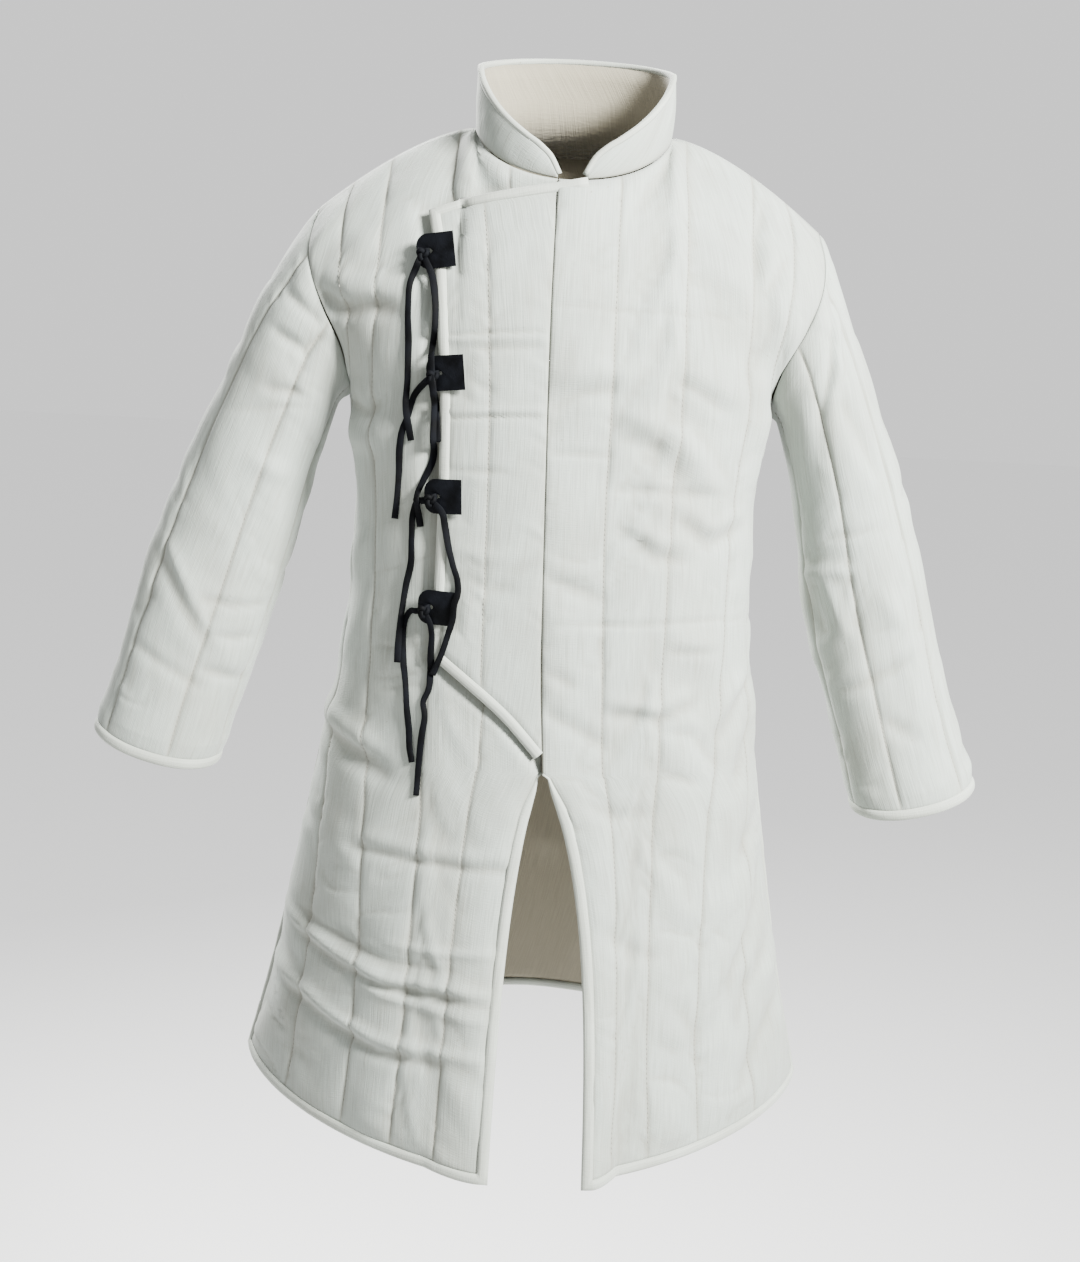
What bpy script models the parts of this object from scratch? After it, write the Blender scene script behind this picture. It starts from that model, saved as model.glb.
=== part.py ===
"""Gambeson: a quilted coat with a standing collar, a laced front flap, long sleeves and open slits.

The coat hangs filled out, front towards -Y, with its origin at the middle of the neck, level with the
side neck points. Each cloth piece is a padded wall: a grid of points on the coat's form, raised
between its quilting lines, over a plain and coarser inside.
"""
import math

import bmesh
import bpy
import numpy as np
from mathutils import Vector
from mathutils.bvhtree import BVHTree

GAP = 0.0003
SEAM_GAP = 0.0008
BIND_GAP = 0.0006
WALL = 0.004  # thickness of the cloth and padding where it is stitched down
CROWN = 0.006  # how far a channel swells beyond its stitch lines
ROUND = 2.5  # squareness of the chest's sections
BINDING = 0.010  # width of a bound edge
BINDING_HALF = 0.0040

NECK_HALF = 0.097
NECK_FRONT = 0.085
NECK_BACK = 0.075
NECK_DIP = 0.050  # how far the neckline drops at the front
NECK_RISE = 0.015
SHOULDER_X = 0.250
SHOULDER_DROP = 1.41
ARMPIT_X = 0.2135
ARMPIT_Z = -0.268
VENT_TOP = -0.612
VENT_X = 0.002
VENT_GAP = 0.0012
SLIT_TOP = -0.620
HEM_Z = -0.985


def table(names, *rows):
    """Rows of numbers as one array for each named column."""
    columns = zip(*rows)
    return {name: np.array(column, float) for name, column in zip(names.split(), columns)}


BODY = table(
    "side_z front_z back_z half_width front_depth back_depth square",
    (-0.268, -0.268, -0.268, 0.2135, 0.140, 0.125, 2.5),
    (-0.345, -0.345, -0.345, 0.203, 0.143, 0.122, 2.5),
    (-0.471, -0.471, -0.471, 0.207, 0.147, 0.122, 2.5),
    (-0.602, -0.603, -0.602, 0.222, 0.155, 0.130, 2.3),
    (-0.736, -0.744, -0.735, 0.244, 0.178, 0.146, 2.0),
    (-0.875, -0.892, -0.872, 0.271, 0.207, 0.163, 1.75),
    (-0.985, -1.014, -0.981, 0.298, 0.232, 0.178, 1.6),
)
# Distance of each quilting line from the front edge, as a share of the half front.
FRONT_LINES = table("top_x chest hem", (0, 0, 0), (0.053, 0.184, 0.207), (0.112, 0.403, 0.353),
                    (0.178, 0.670, 0.514), (0.215, 0.870, 0.740), (0.250, 1, 1))
BACK_LINES = table("top_x chest hem", (0, 0, 0), (0.032, 0.115, 0.090), (0.097, 0.345, 0.270),
                   (0.160, 0.580, 0.470), (0.210, 0.810, 0.720), (0.250, 1, 1))
ARMHOLE = table("share x front back", (0, 0.250, 0, 0), (0.15, 0.2535, 0.031, 0.031),
                (0.35, 0.248, 0.060, 0.058), (0.5, 0.237, 0.068, 0.066), (0.75, 0.216, 0.059, 0.057),
                (0.9, 0.2115, 0.041, 0.040), (1, 0.2135, 0, 0))
SLEEVE = "outer_x outer_z inner_x inner_z half_depth middle_y dip"
SLEEVES = {
    -1: table(SLEEVE, (0.250, -0.087, 0.2135, -0.268, 0.068, 0, 0),
              (0.307, -0.178, 0.226, -0.284, 0.073, 0, 0),
              (0.364, -0.302, 0.247, -0.349, 0.066, -0.005, 0),
              (0.413, -0.429, 0.280, -0.477, 0.064, -0.016, 0),
              (0.447, -0.553, 0.318, -0.592, 0.058, -0.032, 0.002),
              (0.464, -0.608, 0.331, -0.644, 0.056, -0.042, 0.006)),
    1: table(SLEEVE, (0.250, -0.087, 0.2135, -0.268, 0.068, 0, 0),
             (0.290, -0.172, 0.225, -0.284, 0.073, 0, 0),
             (0.341, -0.296, 0.244, -0.349, 0.066, -0.005, 0),
             (0.384, -0.419, 0.264, -0.467, 0.064, -0.016, 0),
             (0.422, -0.552, 0.303, -0.592, 0.058, -0.032, 0.002),
             (0.451, -0.624, 0.322, -0.660, 0.056, -0.042, 0.006)),
}
SLEEVE_ROWS = 15
SLEEVE_COLUMNS = 24
FIRST_SLEEVE_LINE = 3

# Edges of the flap, seen from the front.
FLAP_LEFT = table("z x", (-0.075, -0.137), (-0.120, -0.127), (-0.168, -0.121), (-0.260, -0.113),
                  (-0.340, -0.111), (-0.420, -0.111), (-0.507, -0.112))
FLAP_TOP = table("x z", (-0.137, -0.087), (-0.104, -0.0746), (-0.067, -0.0650), (-0.030, -0.0575),
                 (0.012, -0.0500))
FLAP_FOOT = table("x z", (-0.112, -0.507), (-0.072, -0.537), (-0.032, -0.570), (0.002, -0.607))
SEAM = table("z x", (-0.050, -0.0125), (-0.162, -0.0128), (-0.329, -0.0096), (-0.543, -0.0024),
             (-0.612, 0.002))
FLAP_LIFT = 0.0065
FLAP_SEAT = 0.005  # how far the right front sinks beneath the flap
FLAP_LINE = 0.415
VENT_SPREAD = {1: 0.060, -1: -0.033}
VENT_CURL = 0.12
FULLER = 0.030  # how much wider the skirt hangs on the wearer's right than on the left
SEAM_REACH = 0.095  # how far in from the front edge a panel's lines follow that edge

# The largest folds: a line from one point to another, seen from the front, its rise and its width.
FOLDS = {
    "front_right": table("x1 z1 x2 z2 rise width", (-0.235, -0.176, -0.165, -0.178, -0.006, 0.014),
                         (-0.222, -0.272, -0.178, -0.270, -0.005, 0.014),
                         (-0.232, -0.608, -0.145, -0.650, -0.007, 0.018),
                         (-0.250, -0.835, -0.060, -0.905, -0.005, 0.016),
                         (-0.262, -0.880, -0.060, -0.955, 0.004, 0.018)),
    "front_left": table("x1 z1 x2 z2 rise width", (0.205, -0.130, 0.190, -0.240, -0.006, 0.012),
                        (0.060, -0.290, 0.160, -0.365, 0.004, 0.016),
                        (0.010, -0.480, 0.190, -0.475, -0.004, 0.014),
                        (0.225, -0.560, 0.170, -0.690, -0.006, 0.014),
                        (0.255, -0.760, 0.200, -0.930, -0.006, 0.016)),
}

COLLAR = table("turn height", (0, 0.012), (0.05, 0.017), (0.12, 0.029), (0.20, 0.048), (0.28, 0.060),
               (0.38, 0.062), (0.5, 0.063))
COLLAR_WALL = 0.005
COLLAR_START = 0.0115  # distance of the collar's front ends from the middle
COLLAR_GAP = 0.0013
COLLAR_COLUMNS = 32

TABS = table("x z", (-0.1245, -0.122), (-0.1090, -0.234), (-0.1065, -0.350), (-0.1085, -0.457))
TAB_WIDTH = 0.036
TAB_HEIGHT = 0.033
TAB_THICK = 0.0022
LACE = 0.005
KNOT = 0.0058
# Each end of a lace as seen from the front, from beside its knot down to its tip. The lower laces
# come first, because the upper ones hang over them.
LACES = {
    "lace_4_short": [(-0.133, -0.463), (-0.138, -0.470), (-0.141, -0.482), (-0.141, -0.495),
                     (-0.139, -0.516), (-0.136, -0.540), (-0.134, -0.563), (-0.131, -0.585),
                     (-0.130, -0.600), (-0.127, -0.614)],
    "lace_4_long": [(-0.114, -0.472), (-0.112, -0.482), (-0.112, -0.501), (-0.112, -0.524),
                    (-0.113, -0.539), (-0.118, -0.553), (-0.116, -0.566), (-0.118, -0.585),
                    (-0.120, -0.616), (-0.121, -0.646)],
    "lace_3_short": [(-0.131, -0.357), (-0.135, -0.367), (-0.136, -0.392), (-0.136, -0.419),
                     (-0.140, -0.440), (-0.143, -0.465), (-0.145, -0.498), (-0.145, -0.515)],
    "lace_3_long": [(-0.107, -0.364), (-0.103, -0.380), (-0.099, -0.398), (-0.094, -0.415),
                    (-0.089, -0.430), (-0.088, -0.440), (-0.091, -0.451), (-0.092, -0.466),
                    (-0.096, -0.482), (-0.101, -0.500), (-0.107, -0.516), (-0.110, -0.524)],
    "lace_2_long": [(-0.131, -0.247), (-0.138, -0.256), (-0.144, -0.277), (-0.149, -0.291),
                    (-0.151, -0.307), (-0.151, -0.331), (-0.152, -0.352), (-0.154, -0.377)],
    "lace_2_short": [(-0.119, -0.253), (-0.116, -0.273), (-0.114, -0.299)],
    "lace_1_short": [(-0.141, -0.136), (-0.147, -0.152), (-0.148, -0.175), (-0.146, -0.211),
                     (-0.146, -0.240), (-0.146, -0.270), (-0.143, -0.286), (-0.140, -0.300)],
    "lace_1_long": [(-0.127, -0.144), (-0.122, -0.167), (-0.121, -0.189), (-0.123, -0.212),
                    (-0.122, -0.234), (-0.119, -0.257), (-0.118, -0.289), (-0.119, -0.319),
                    (-0.127, -0.338), (-0.132, -0.351), (-0.131, -0.363), (-0.128, -0.382)],
}

LOOKS = {"cloth": ((0.80, 0.81, 0.76), 0.85), "binding": ((0.86, 0.86, 0.82), 0.8),
         "leather": ((0.012, 0.012, 0.015), 0.45)}


def smooth(at, xs, ys):
    """The value at each place of a smooth curve through the points (xs, ys)."""
    at = np.clip(at, xs[0], xs[-1])
    slopes = np.gradient(ys, xs)
    i = np.clip(np.searchsorted(xs, at) - 1, 0, len(xs) - 2)
    h = xs[i + 1] - xs[i]
    t = (at - xs[i]) / h
    return ((1 + 2 * t) * (1 - t) ** 2 * ys[i] + t * (1 - t) ** 2 * h * slopes[i]
            + t * t * (3 - 2 * t) * ys[i + 1] - t * t * (1 - t) * h * slopes[i + 1])


def ramp(at, low, high):
    """0 below low, 1 above high, and an even curve between."""
    t = np.clip((at - low) / (high - low), 0, 1)
    return t * t * (3 - 2 * t)


def body(z, column):
    """A value from the body's table at a height."""
    return smooth(-np.asarray(z, float), -BODY["side_z"], BODY[column])


def seam_x(z):
    """Place of the front seam, where flap and left front meet."""
    return smooth(-np.asarray(z, float), -SEAM["z"], SEAM["x"])


def flap_left(z):
    """Place of the flap's free edge."""
    return smooth(-np.asarray(z, float), -FLAP_LEFT["z"], FLAP_LEFT["x"])


def neckline(x, depth, fall):
    """Depth and height of the neck's edge at a distance from the middle."""
    share = np.clip(1 - (np.abs(x) / NECK_HALF) ** 2.2, 0, 1) ** (1 / 2.2)
    return depth * share, fall * share ** 1.3


def top_edge(x, front):
    """Depth and height of a panel's top: the neckline, then the shoulder seam."""
    depth, fall = (-NECK_FRONT, -NECK_DIP) if front else (NECK_BACK, NECK_RISE)
    y, z = neckline(x, depth, fall)
    return y, z - SHOULDER_DROP * np.clip(np.abs(x) - NECK_HALF, 0, None) ** 1.5


def yoke_y(x, share, front):
    """Depth of the form above the armpits, at a share of the way down from the top edge."""
    side = "front" if front else "back"
    sign = -1 if front else 1
    chest = BODY[side + "_depth"][0]
    edge_x = smooth(share, ARMHOLE["share"], ARMHOLE["x"])
    edge_y = smooth(share, ARMHOLE["share"], ARMHOLE[side])
    swell = 1 - (1 - share) ** 2.2
    reach = np.clip(edge_y / np.maximum(swell * chest, 1e-6), 0, 0.95)
    half = edge_x / (1 - reach ** ROUND) ** (1 / ROUND)
    curve = chest * (1 - np.clip(np.abs(x) / half, 0, 1) ** ROUND) ** (1 / ROUND)
    top_y, _ = top_edge(x, front)
    return top_y * (1 - swell) + sign * swell * curve


def front_y(x, z):
    """Depth of the front of the form at a place seen from the front."""
    x, z = np.broadcast_arrays(np.asarray(x, float), np.asarray(z, float))
    _, top_z = top_edge(x, True)
    share = np.clip((top_z - z) / (top_z - ARMPIT_Z), 0, 1)
    low_z = np.minimum(z, ARMPIT_Z)
    width, square = body(low_z, "half_width"), body(low_z, "square")
    curve = (1 - np.clip(np.abs(x) / width, 0, 1) ** square) ** (1 / square)
    return np.where(z > ARMPIT_Z, yoke_y(x, share, True), -body(low_z, "front_depth") * curve)


def quarter(shares, width, depth, square=ROUND):
    """Points at shares of the arc from the middle to the side of a section, and the arc's length."""
    t = np.linspace(0, math.pi / 2, 241)
    x = width * np.sin(t) ** (2 / square)
    y = depth * np.cos(t) ** (2 / square)
    run = np.concatenate([[0], np.cumsum(np.hypot(np.diff(x), np.diff(y)))])
    return np.interp(shares * run[-1], run, x), np.interp(shares * run[-1], run, y), run[-1]


def between(lines, per_channel):
    """Evenly spaced values from each line to the next."""
    steps = np.arange(per_channel) / per_channel
    inner = [a + (b - a) * steps for a, b in zip(lines, lines[1:])]
    return np.concatenate(inner + [lines[-1:]])


def armhole_shares(rows):
    """Shares of the way from shoulder to armpit: even above, closing in round the armpit."""
    half = rows // 2
    low = 0.5 + 0.5 * np.sin(np.arange(1, half + 1) * math.pi / 2 / half)
    return np.concatenate([np.arange(half + 1) / rows, low])


def edge_width(z, top):
    """Width that the binding takes off a panel's edge below an opening's top."""
    return 0.003 + (BINDING - 0.003) * ramp(top - z, 0, 0.045)


def half_panel(side, front, per_channel, arm_rows, body_heights):
    """Points of the half coat from the middle edge (column 0) to its side, rows from top to hem."""
    lines = FRONT_LINES if front else BACK_LINES
    tops = between(lines["top_x"], per_channel)
    corner = np.argmin(np.abs(tops - NECK_HALF))
    tops[corner] = NECK_HALF
    chest = between(lines["chest"], per_channel)
    hem = between(lines["hem"], per_channel)
    depth_name = "front_depth" if front else "back_depth"
    sign = -1 if front else 1
    arm_x, arm_y, _ = quarter(chest, ARMPIT_X, BODY[depth_name][0])
    outside = ramp(tops, FRONT_LINES["top_x"][3], SHOULDER_X)
    top_seam = shift_to(tops, front_edge(-NECK_DIP, side), side) if front else tops
    _, top_z = top_edge(top_seam, front)
    rows = []
    for share in armhole_shares(arm_rows):
        x = tops + (arm_x - tops) * share
        edge_x = smooth(share, ARMHOLE["share"], ARMHOLE["x"])
        x = x + (edge_x - x[-1]) * outside
        if front:
            x = shift_to(x, front_edge(top_z[0] + (ARMPIT_Z - top_z[0]) * share, side), side)
        z = top_z + (ARMPIT_Z - top_z) * share
        y = yoke_y(x, share, front)
        y = y * (1 - share ** 14) + sign * arm_y * share ** 14
        rows.append(np.stack([x, y, z], 1))
    for height in body_heights:
        down = (ARMPIT_Z - height) / (ARMPIT_Z - HEM_Z)
        shares = chest + (hem - chest) * ramp(down, 0, 1)
        size = body(height, "half_width"), body(height, depth_name), body(height, "square")
        _, _, arc = quarter(shares, *size)
        if height < SLIT_TOP + 1e-6:
            open_by = GAP + 0.006 * ramp(SLIT_TOP - height, 0, 0.3)
            shares = shares * (1 - (edge_width(height, SLIT_TOP) + open_by) / arc)
        x, y, _ = quarter(shares, *size)
        if side < 0:
            x = x * (1 + FULLER * ramp(-height, 0.50, 0.62))
        if front:
            x = shift_to(x, front_edge(height, side), side)
        drop = body(height, "front_z" if front else "back_z") - height
        rows.append(np.stack([x, sign * y, height + drop * np.abs(y) / size[1]], 1))
    grid = np.array(rows)
    grid[..., 0] *= side
    grid[..., 1] += sign * 0.0002
    return grid


def front_edge(z, side):
    """Where a front panel's middle edge stands: on the front seam or, lower down, at the vent."""
    if z > VENT_TOP - 1e-6:
        return seam_x(z) - (SEAM_GAP if side < 0 else 0)
    curl = 1 - math.exp((z - VENT_TOP) / VENT_CURL)
    return VENT_X + VENT_SPREAD[side] * curl + side * (VENT_GAP + edge_width(z, VENT_TOP))


def shift_to(x, edge, side):
    """Moves a row's middle edge to its place, and the points beside it less and less."""
    return x + side * edge * np.clip(1 - x / SEAM_REACH, 0, 1)


def normals_of(grid, closed=False):
    """Unit normals of a grid of points, pointing away from the coat's inside."""
    if closed:
        across = np.roll(grid, -1, 1) - np.roll(grid, 1, 1)
    else:
        across = np.gradient(grid, axis=1)
    normals = np.cross(across, np.gradient(grid, axis=0))
    normals /= np.linalg.norm(normals, axis=2, keepdims=True) + 1e-12
    middle = grid.mean(1, keepdims=True) if closed else np.zeros(3)
    outwards = ((grid - middle) * normals)[..., :2].sum() > 0
    return normals if outwards else -normals


def channel_rise(columns, per_channel, first=0, crown=CROWN):
    """Height of the channels at each column: nothing on a line, most in the middle."""
    u = ((np.arange(columns) - first) % per_channel) / per_channel
    return crown * np.clip(1 - (2 * u - 1) ** 2, 0, 1) ** 0.6


def crown_of(grid, rise, closed=False):
    """The channels' rise over a whole grid: less on a narrow channel, none at the ends."""
    run = np.concatenate([np.zeros((1, grid.shape[1])),
                          np.cumsum(np.linalg.norm(np.diff(grid, axis=0), axis=2), 0)])
    ends = np.minimum(run, run[-1] - run)
    pitch = np.linalg.norm(np.gradient(grid, axis=1), axis=2)
    typical = 0.016 if closed else 0.02
    return rise * ramp(ends, -0.004, 0.02) * (ends > 1e-6) * np.clip(pitch / typical, 0.3, 1)


def clear_of_armpit(grid):
    """Share of the rise to keep: none at the armpit, where torso and sleeve face each other."""
    armpit = np.array([ARMPIT_X, 0, ARMPIT_Z])
    away = np.linalg.norm(np.abs(grid) * [1, 1, -1] - armpit, axis=-1)
    return ramp(away, 0.015, 0.060)


def fold_rise(name, points):
    """Rise of the panel's large folds at each point."""
    total = np.zeros(points.shape[:-1])
    if name not in FOLDS:
        return total
    folds = FOLDS[name]
    for x1, z1, x2, z2, rise, width in zip(*folds.values()):
        start, run = np.array([x1, z1]), np.array([x2 - x1, z2 - z1])
        place = points[..., [0, 2]] - start
        along = np.clip(place @ run / (run @ run), 0, 1)
        away = np.linalg.norm(place - along[..., None] * run, axis=-1)
        total += rise * np.exp(-(away / width) ** 2)
    return total


def under_flap(x, z):
    """1 where the flap lies over the right front, 0 clear of it."""
    beside = ramp(x - flap_left(z), -0.045, -0.005)
    top = smooth(x, FLAP_TOP["x"], FLAP_TOP["z"])
    foot = smooth(x, FLAP_FOOT["x"], FLAP_FOOT["z"])
    return beside * (1 - ramp(z - top, 0.008, 0.030)) * ramp(z - foot, -0.040, -0.006)


def zip_edges(bm, first, second):
    """Triangles between two rows of vertices that run the same way, of any two counts."""
    i = j = 0
    while i < len(first) - 1 or j < len(second) - 1:
        ahead = (i + 1) / (len(first) - 1) <= (j + 1) / (len(second) - 1) if len(second) > 1 else True
        if j == len(second) - 1 or (ahead and i < len(first) - 1):
            bm.faces.new((first[i], first[i + 1], second[j]))
            i += 1
        else:
            bm.faces.new((first[i], second[j + 1], second[j]))
            j += 1


def add_grid(bm, points, closed=False):
    """Vertices and faces of a grid, which a closed one carries on round to its start."""
    rows = [[bm.verts.new(point) for point in row] for row in points]
    for upper, lower in zip(rows, rows[1:]):
        wrap = len(upper) if closed else len(upper) - 1
        for c in range(wrap):
            d = (c + 1) % len(upper)
            bm.faces.new((upper[c], upper[d], lower[d], lower[c]))
    return rows


def wall(name, outer, inner, closed=False, look="cloth"):
    """One closed padded wall between an outer grid and a coarser inner one."""
    bm = bmesh.new()
    out = add_grid(bm, outer, closed)
    inn = add_grid(bm, inner, closed)
    if closed:
        for a, b in ((out[0], inn[0]), (out[-1], inn[-1])):
            zip_edges(bm, a + a[:1], b + b[:1])
    else:
        zip_edges(bm, out[0], inn[0])
        zip_edges(bm, out[-1], inn[-1])
        zip_edges(bm, [row[0] for row in out], [row[0] for row in inn])
        zip_edges(bm, [row[-1] for row in out], [row[-1] for row in inn])
    return finish(name, bm, look)


def finish(name, bm, look):
    """Makes the mesh an object whose faces point outwards."""
    bmesh.ops.recalc_face_normals(bm, faces=bm.faces)
    mesh = bpy.data.meshes.new(name)
    bm.to_mesh(mesh)
    bm.free()
    if signed_volume(mesh) < 0:
        mesh.flip_normals()
    mesh.shade_smooth()
    obj = bpy.data.objects.new(name, mesh)
    dress(obj, look)
    return obj


def signed_volume(mesh):
    """Six times the mesh's volume: below 0 where its faces point inwards."""
    mesh.calc_loop_triangles()
    points = [v.co for v in mesh.vertices]
    return sum(points[a].dot(points[b].cross(points[c])) for a, b, c in
               (tri.vertices for tri in mesh.loop_triangles))


def dress(obj, look):
    """Gives the object its material and puts it in the garment."""
    colour, roughness = LOOKS[look]
    material = bpy.data.materials.new(obj.name)
    material.use_nodes = True
    shader = material.node_tree.nodes["Principled BSDF"]
    shader.inputs["Base Color"].default_value = (*colour, 1)
    shader.inputs["Roughness"].default_value = roughness
    shader.inputs["Metallic"].default_value = 0
    obj.data.materials.append(material)
    garment.objects.link(obj)


def padded(name, grid, normals, lift, base=0, closed=False):
    """The wall of a panel: its points lifted along the normals, over a plain inside."""
    outer = grid + normals * lift[..., None]
    level = np.minimum(lift, base) - WALL
    return wall(name, outer, grid + normals * level[..., None], closed)


def bind(name, edge, inward, normals, widths, half=BINDING_HALF):
    """A bound edge: a rounded bar along a row of edge points, its corners mitred."""
    steps = np.diff(edge, axis=0)
    steps /= np.linalg.norm(steps, axis=1, keepdims=True)
    before = np.vstack([steps[:1], steps])
    after = np.vstack([steps, steps[-1:]])
    bm = bmesh.new()
    rings = []
    for i, point in enumerate(edge):
        out_a = outward(before[i], normals[i], inward[i])
        out_b = outward(after[i], normals[i], inward[i])
        out = out_a + out_b
        out /= max(out @ out / 2, 0.8)
        middle = point - normals[i] * WALL / 2
        w = widths[i]
        section = ((BIND_GAP, half), (0.6 * w, half), (w, 0.45 * half),
                   (w, -0.45 * half), (0.6 * w, -half), (BIND_GAP, -half))
        rings.append([bm.verts.new(middle + out * a + normals[i] * b) for a, b in section])
    for a, b in zip(rings, rings[1:]):
        for k in range(6):
            bm.faces.new((a[k], a[(k + 1) % 6], b[(k + 1) % 6], b[k]))
    bm.faces.new(rings[0])
    bm.faces.new(rings[-1][::-1])
    return finish(name, bm, "binding")


def outward(step, normal, inward):
    """Direction away from the panel, square to its edge."""
    away = np.cross(step, normal)
    away /= np.linalg.norm(away)
    return away if away @ inward < 0 else -away


def edge_run(grid, normals, places):
    """Edge points, directions into the panel and normals, at a run of (row, column) places."""
    last_row, last_column = grid.shape[0] - 1, grid.shape[1] - 1
    points, inwards, ups = [], [], []
    for r, c in places:
        r2 = min(max(r, 1), last_row - 1)
        c2 = min(max(c, 1), last_column - 1)
        points.append(grid[r, c])
        inwards.append(grid[r2, c2] - grid[r, c])
        ups.append(normals[r, c])
    return np.array(points), np.array(inwards), np.array(ups)


def bind_run(name, grid, normals, lift, places, width_of, half=BINDING_HALF):
    """Binds a run of a panel's edge. The panel's own lift carries the binding with it."""
    points, inwards, ups = edge_run(grid, normals, places)
    lifts = np.array([lift[r, c] for r, c in places])
    widths = np.array([width_of(point) for point in points])
    return bind(name, points + ups * lifts[:, None], inwards, ups, widths, half)


BODY_HEIGHTS = np.concatenate([np.linspace(ARMPIT_Z, VENT_TOP, 9)[1:],
                               VENT_TOP + (HEM_Z + BINDING - VENT_TOP) * (np.arange(1, 10) / 9) ** 1.25])
ARM_ROWS = 12
PER_CHANNEL = 3
SLIT_ROW = ARM_ROWS + 9
VENT_ROW = ARM_ROWS + 8


def seam_normals(grid, normals, columns):
    """Turns the normals along the shoulder and side seams into the plane that both panels share."""
    top = np.abs(grid[0, :, 0]) > NECK_HALF - 0.001
    for r, c in [(0, c) for c in np.flatnonzero(top)] + [(r, columns) for r in range(ARM_ROWS, SLIT_ROW)]:
        n = normals[r, c].copy()
        n[1] = 0
        size = np.linalg.norm(n)
        normals[r, c] = n / size / max(size, 0.6)


def make_torso():
    """Grids and normals of the three torso panels, before their walls are made."""
    panels = {}
    for name, side in (("front_left", 1), ("front_right", -1)):
        grid = half_panel(side, True, PER_CHANNEL, ARM_ROWS, BODY_HEIGHTS)
        panels[name] = [grid, normals_of(grid)]
    right, left = [half_panel(side, False, PER_CHANNEL, ARM_ROWS, BODY_HEIGHTS) for side in (-1, 1)]
    grid = np.concatenate([right[:, :0:-1], left], 1)
    panels["back"] = [grid, normals_of(grid)]
    for name, (grid, normals) in panels.items():
        seam_normals(grid, normals, grid.shape[1] - 1)
        if name == "back":
            seam_normals(grid, normals, 0)
    return panels


def make_sleeve_grid(side, panels):
    """Grid of one sleeve. Its first row is the armhole, a hair outside the torso's own edge."""
    rows = SLEEVES[side]
    front = panels["front_left" if side > 0 else "front_right"][0][: ARM_ROWS + 1, -1]
    back = panels["back"][0][: ARM_ROWS + 1, -1 if side > 0 else 0]
    armhole = np.concatenate([front, back[-2:0:-1]])
    armhole[[0, ARM_ROWS], 1] = 0
    armhole = armhole + [side * SEAM_GAP, 0, 0]
    steps = np.arange(len(rows["outer_x"]), dtype=float)
    t = np.linspace(0, 1, SLEEVE_ROWS) ** 0.9 * steps[-1]
    values = {name: smooth(t, steps, column) for name, column in rows.items()}
    angle = np.arange(SLEEVE_COLUMNS) * 2 * math.pi / SLEEVE_COLUMNS
    cos = np.sign(np.cos(angle)) * np.abs(np.cos(angle)) ** 0.9
    sin = np.sign(np.sin(angle)) * np.abs(np.sin(angle)) ** 0.9
    inset = 0.004
    grid = []
    for k in range(SLEEVE_ROWS):
        v = {name: value[k] for name, value in values.items()}
        outer = np.array([v["outer_x"], v["outer_z"]])
        inner = np.array([v["inner_x"], v["inner_z"]])
        half = (outer - inner) / 2
        half -= half / np.linalg.norm(half) * inset
        middle = (outer + inner) / 2
        x = middle[0] + half[0] * cos
        z = middle[1] + half[1] * cos - v["dip"] * np.clip(sin, 0, 1) ** 2
        y = v["middle_y"] - (v["half_depth"] - inset) * sin
        grid.append(np.stack([x * side, y, z], 1))
    grid = np.array(grid)
    fade = (1 - ramp(t, 0, 1.6))[:, None, None]
    return grid + (armhole - grid[0]) * fade


def mitre_armhole(side, panels, sleeve_normals):
    """Gives the torso and the sleeve one direction to the inside along their seam."""
    for name, column in (("front_left" if side > 0 else "front_right", -1),
                         ("back", -1 if side > 0 else 0)):
        normals = panels[name][1]
        for r in range(ARM_ROWS + 1):
            c = r if name != "back" else (SLEEVE_COLUMNS - r) % SLEEVE_COLUMNS
            if r == ARM_ROWS:
                sleeve_normals[0, c, 1] = 0
                sleeve_normals[0, c] /= np.linalg.norm(sleeve_normals[0, c])
                continue
            both = normals[r, column] / np.linalg.norm(normals[r, column]) + sleeve_normals[0, c]
            if r in (0, ARM_ROWS - 1):
                both[1] = 0
            size = np.linalg.norm(both)
            both = both / size * min(1.0 if r > ARM_ROWS - 3 else 1.3, 2 / max(size, 0.1))
            normals[r, column] = both
            sleeve_normals[0, c] = both


def make_panels(panels):
    """The torso's walls and their bindings."""
    for name, (grid, normals) in panels.items():
        columns = grid.shape[1]
        centre_line = (columns - 1) // 2
        first = 0 if name != "back" else centre_line % PER_CHANNEL
        rise = channel_rise(columns, PER_CHANNEL, first)
        if name == "back":
            # No line runs down the middle of the back: its two middle channels are one.
            u = np.abs(np.arange(columns) - centre_line) / PER_CHANNEL
            middle = u < 1
            rise[middle] = CROWN * (1 - u[middle] ** 2) ** 0.6
        lift = crown_of(grid, rise) * clear_of_armpit(grid)
        if name == "front_right":
            covered = under_flap(grid[..., 0], grid[..., 2])
            lift = lift * (1 - 0.6 * covered) - FLAP_SEAT * covered
        inside = (np.abs(lift) > 1e-6)
        lift += fold_rise(name, grid) * inside
        base = np.zeros(lift.shape)
        if name == "front_left":
            x, z = grid[..., 0], grid[..., 2]
            below_neck = ramp(top_edge(x, True)[1] - z, 0.001, 0.014)
            base = FLAP_LIFT * (1 - ramp(x, 0.0, 0.07)) * ramp(z, VENT_TOP - 0.10, VENT_TOP) * below_neck
            lift += base
        padded(name, grid, normals, lift, base)
        place_bindings(name, grid, normals, base)


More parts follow.
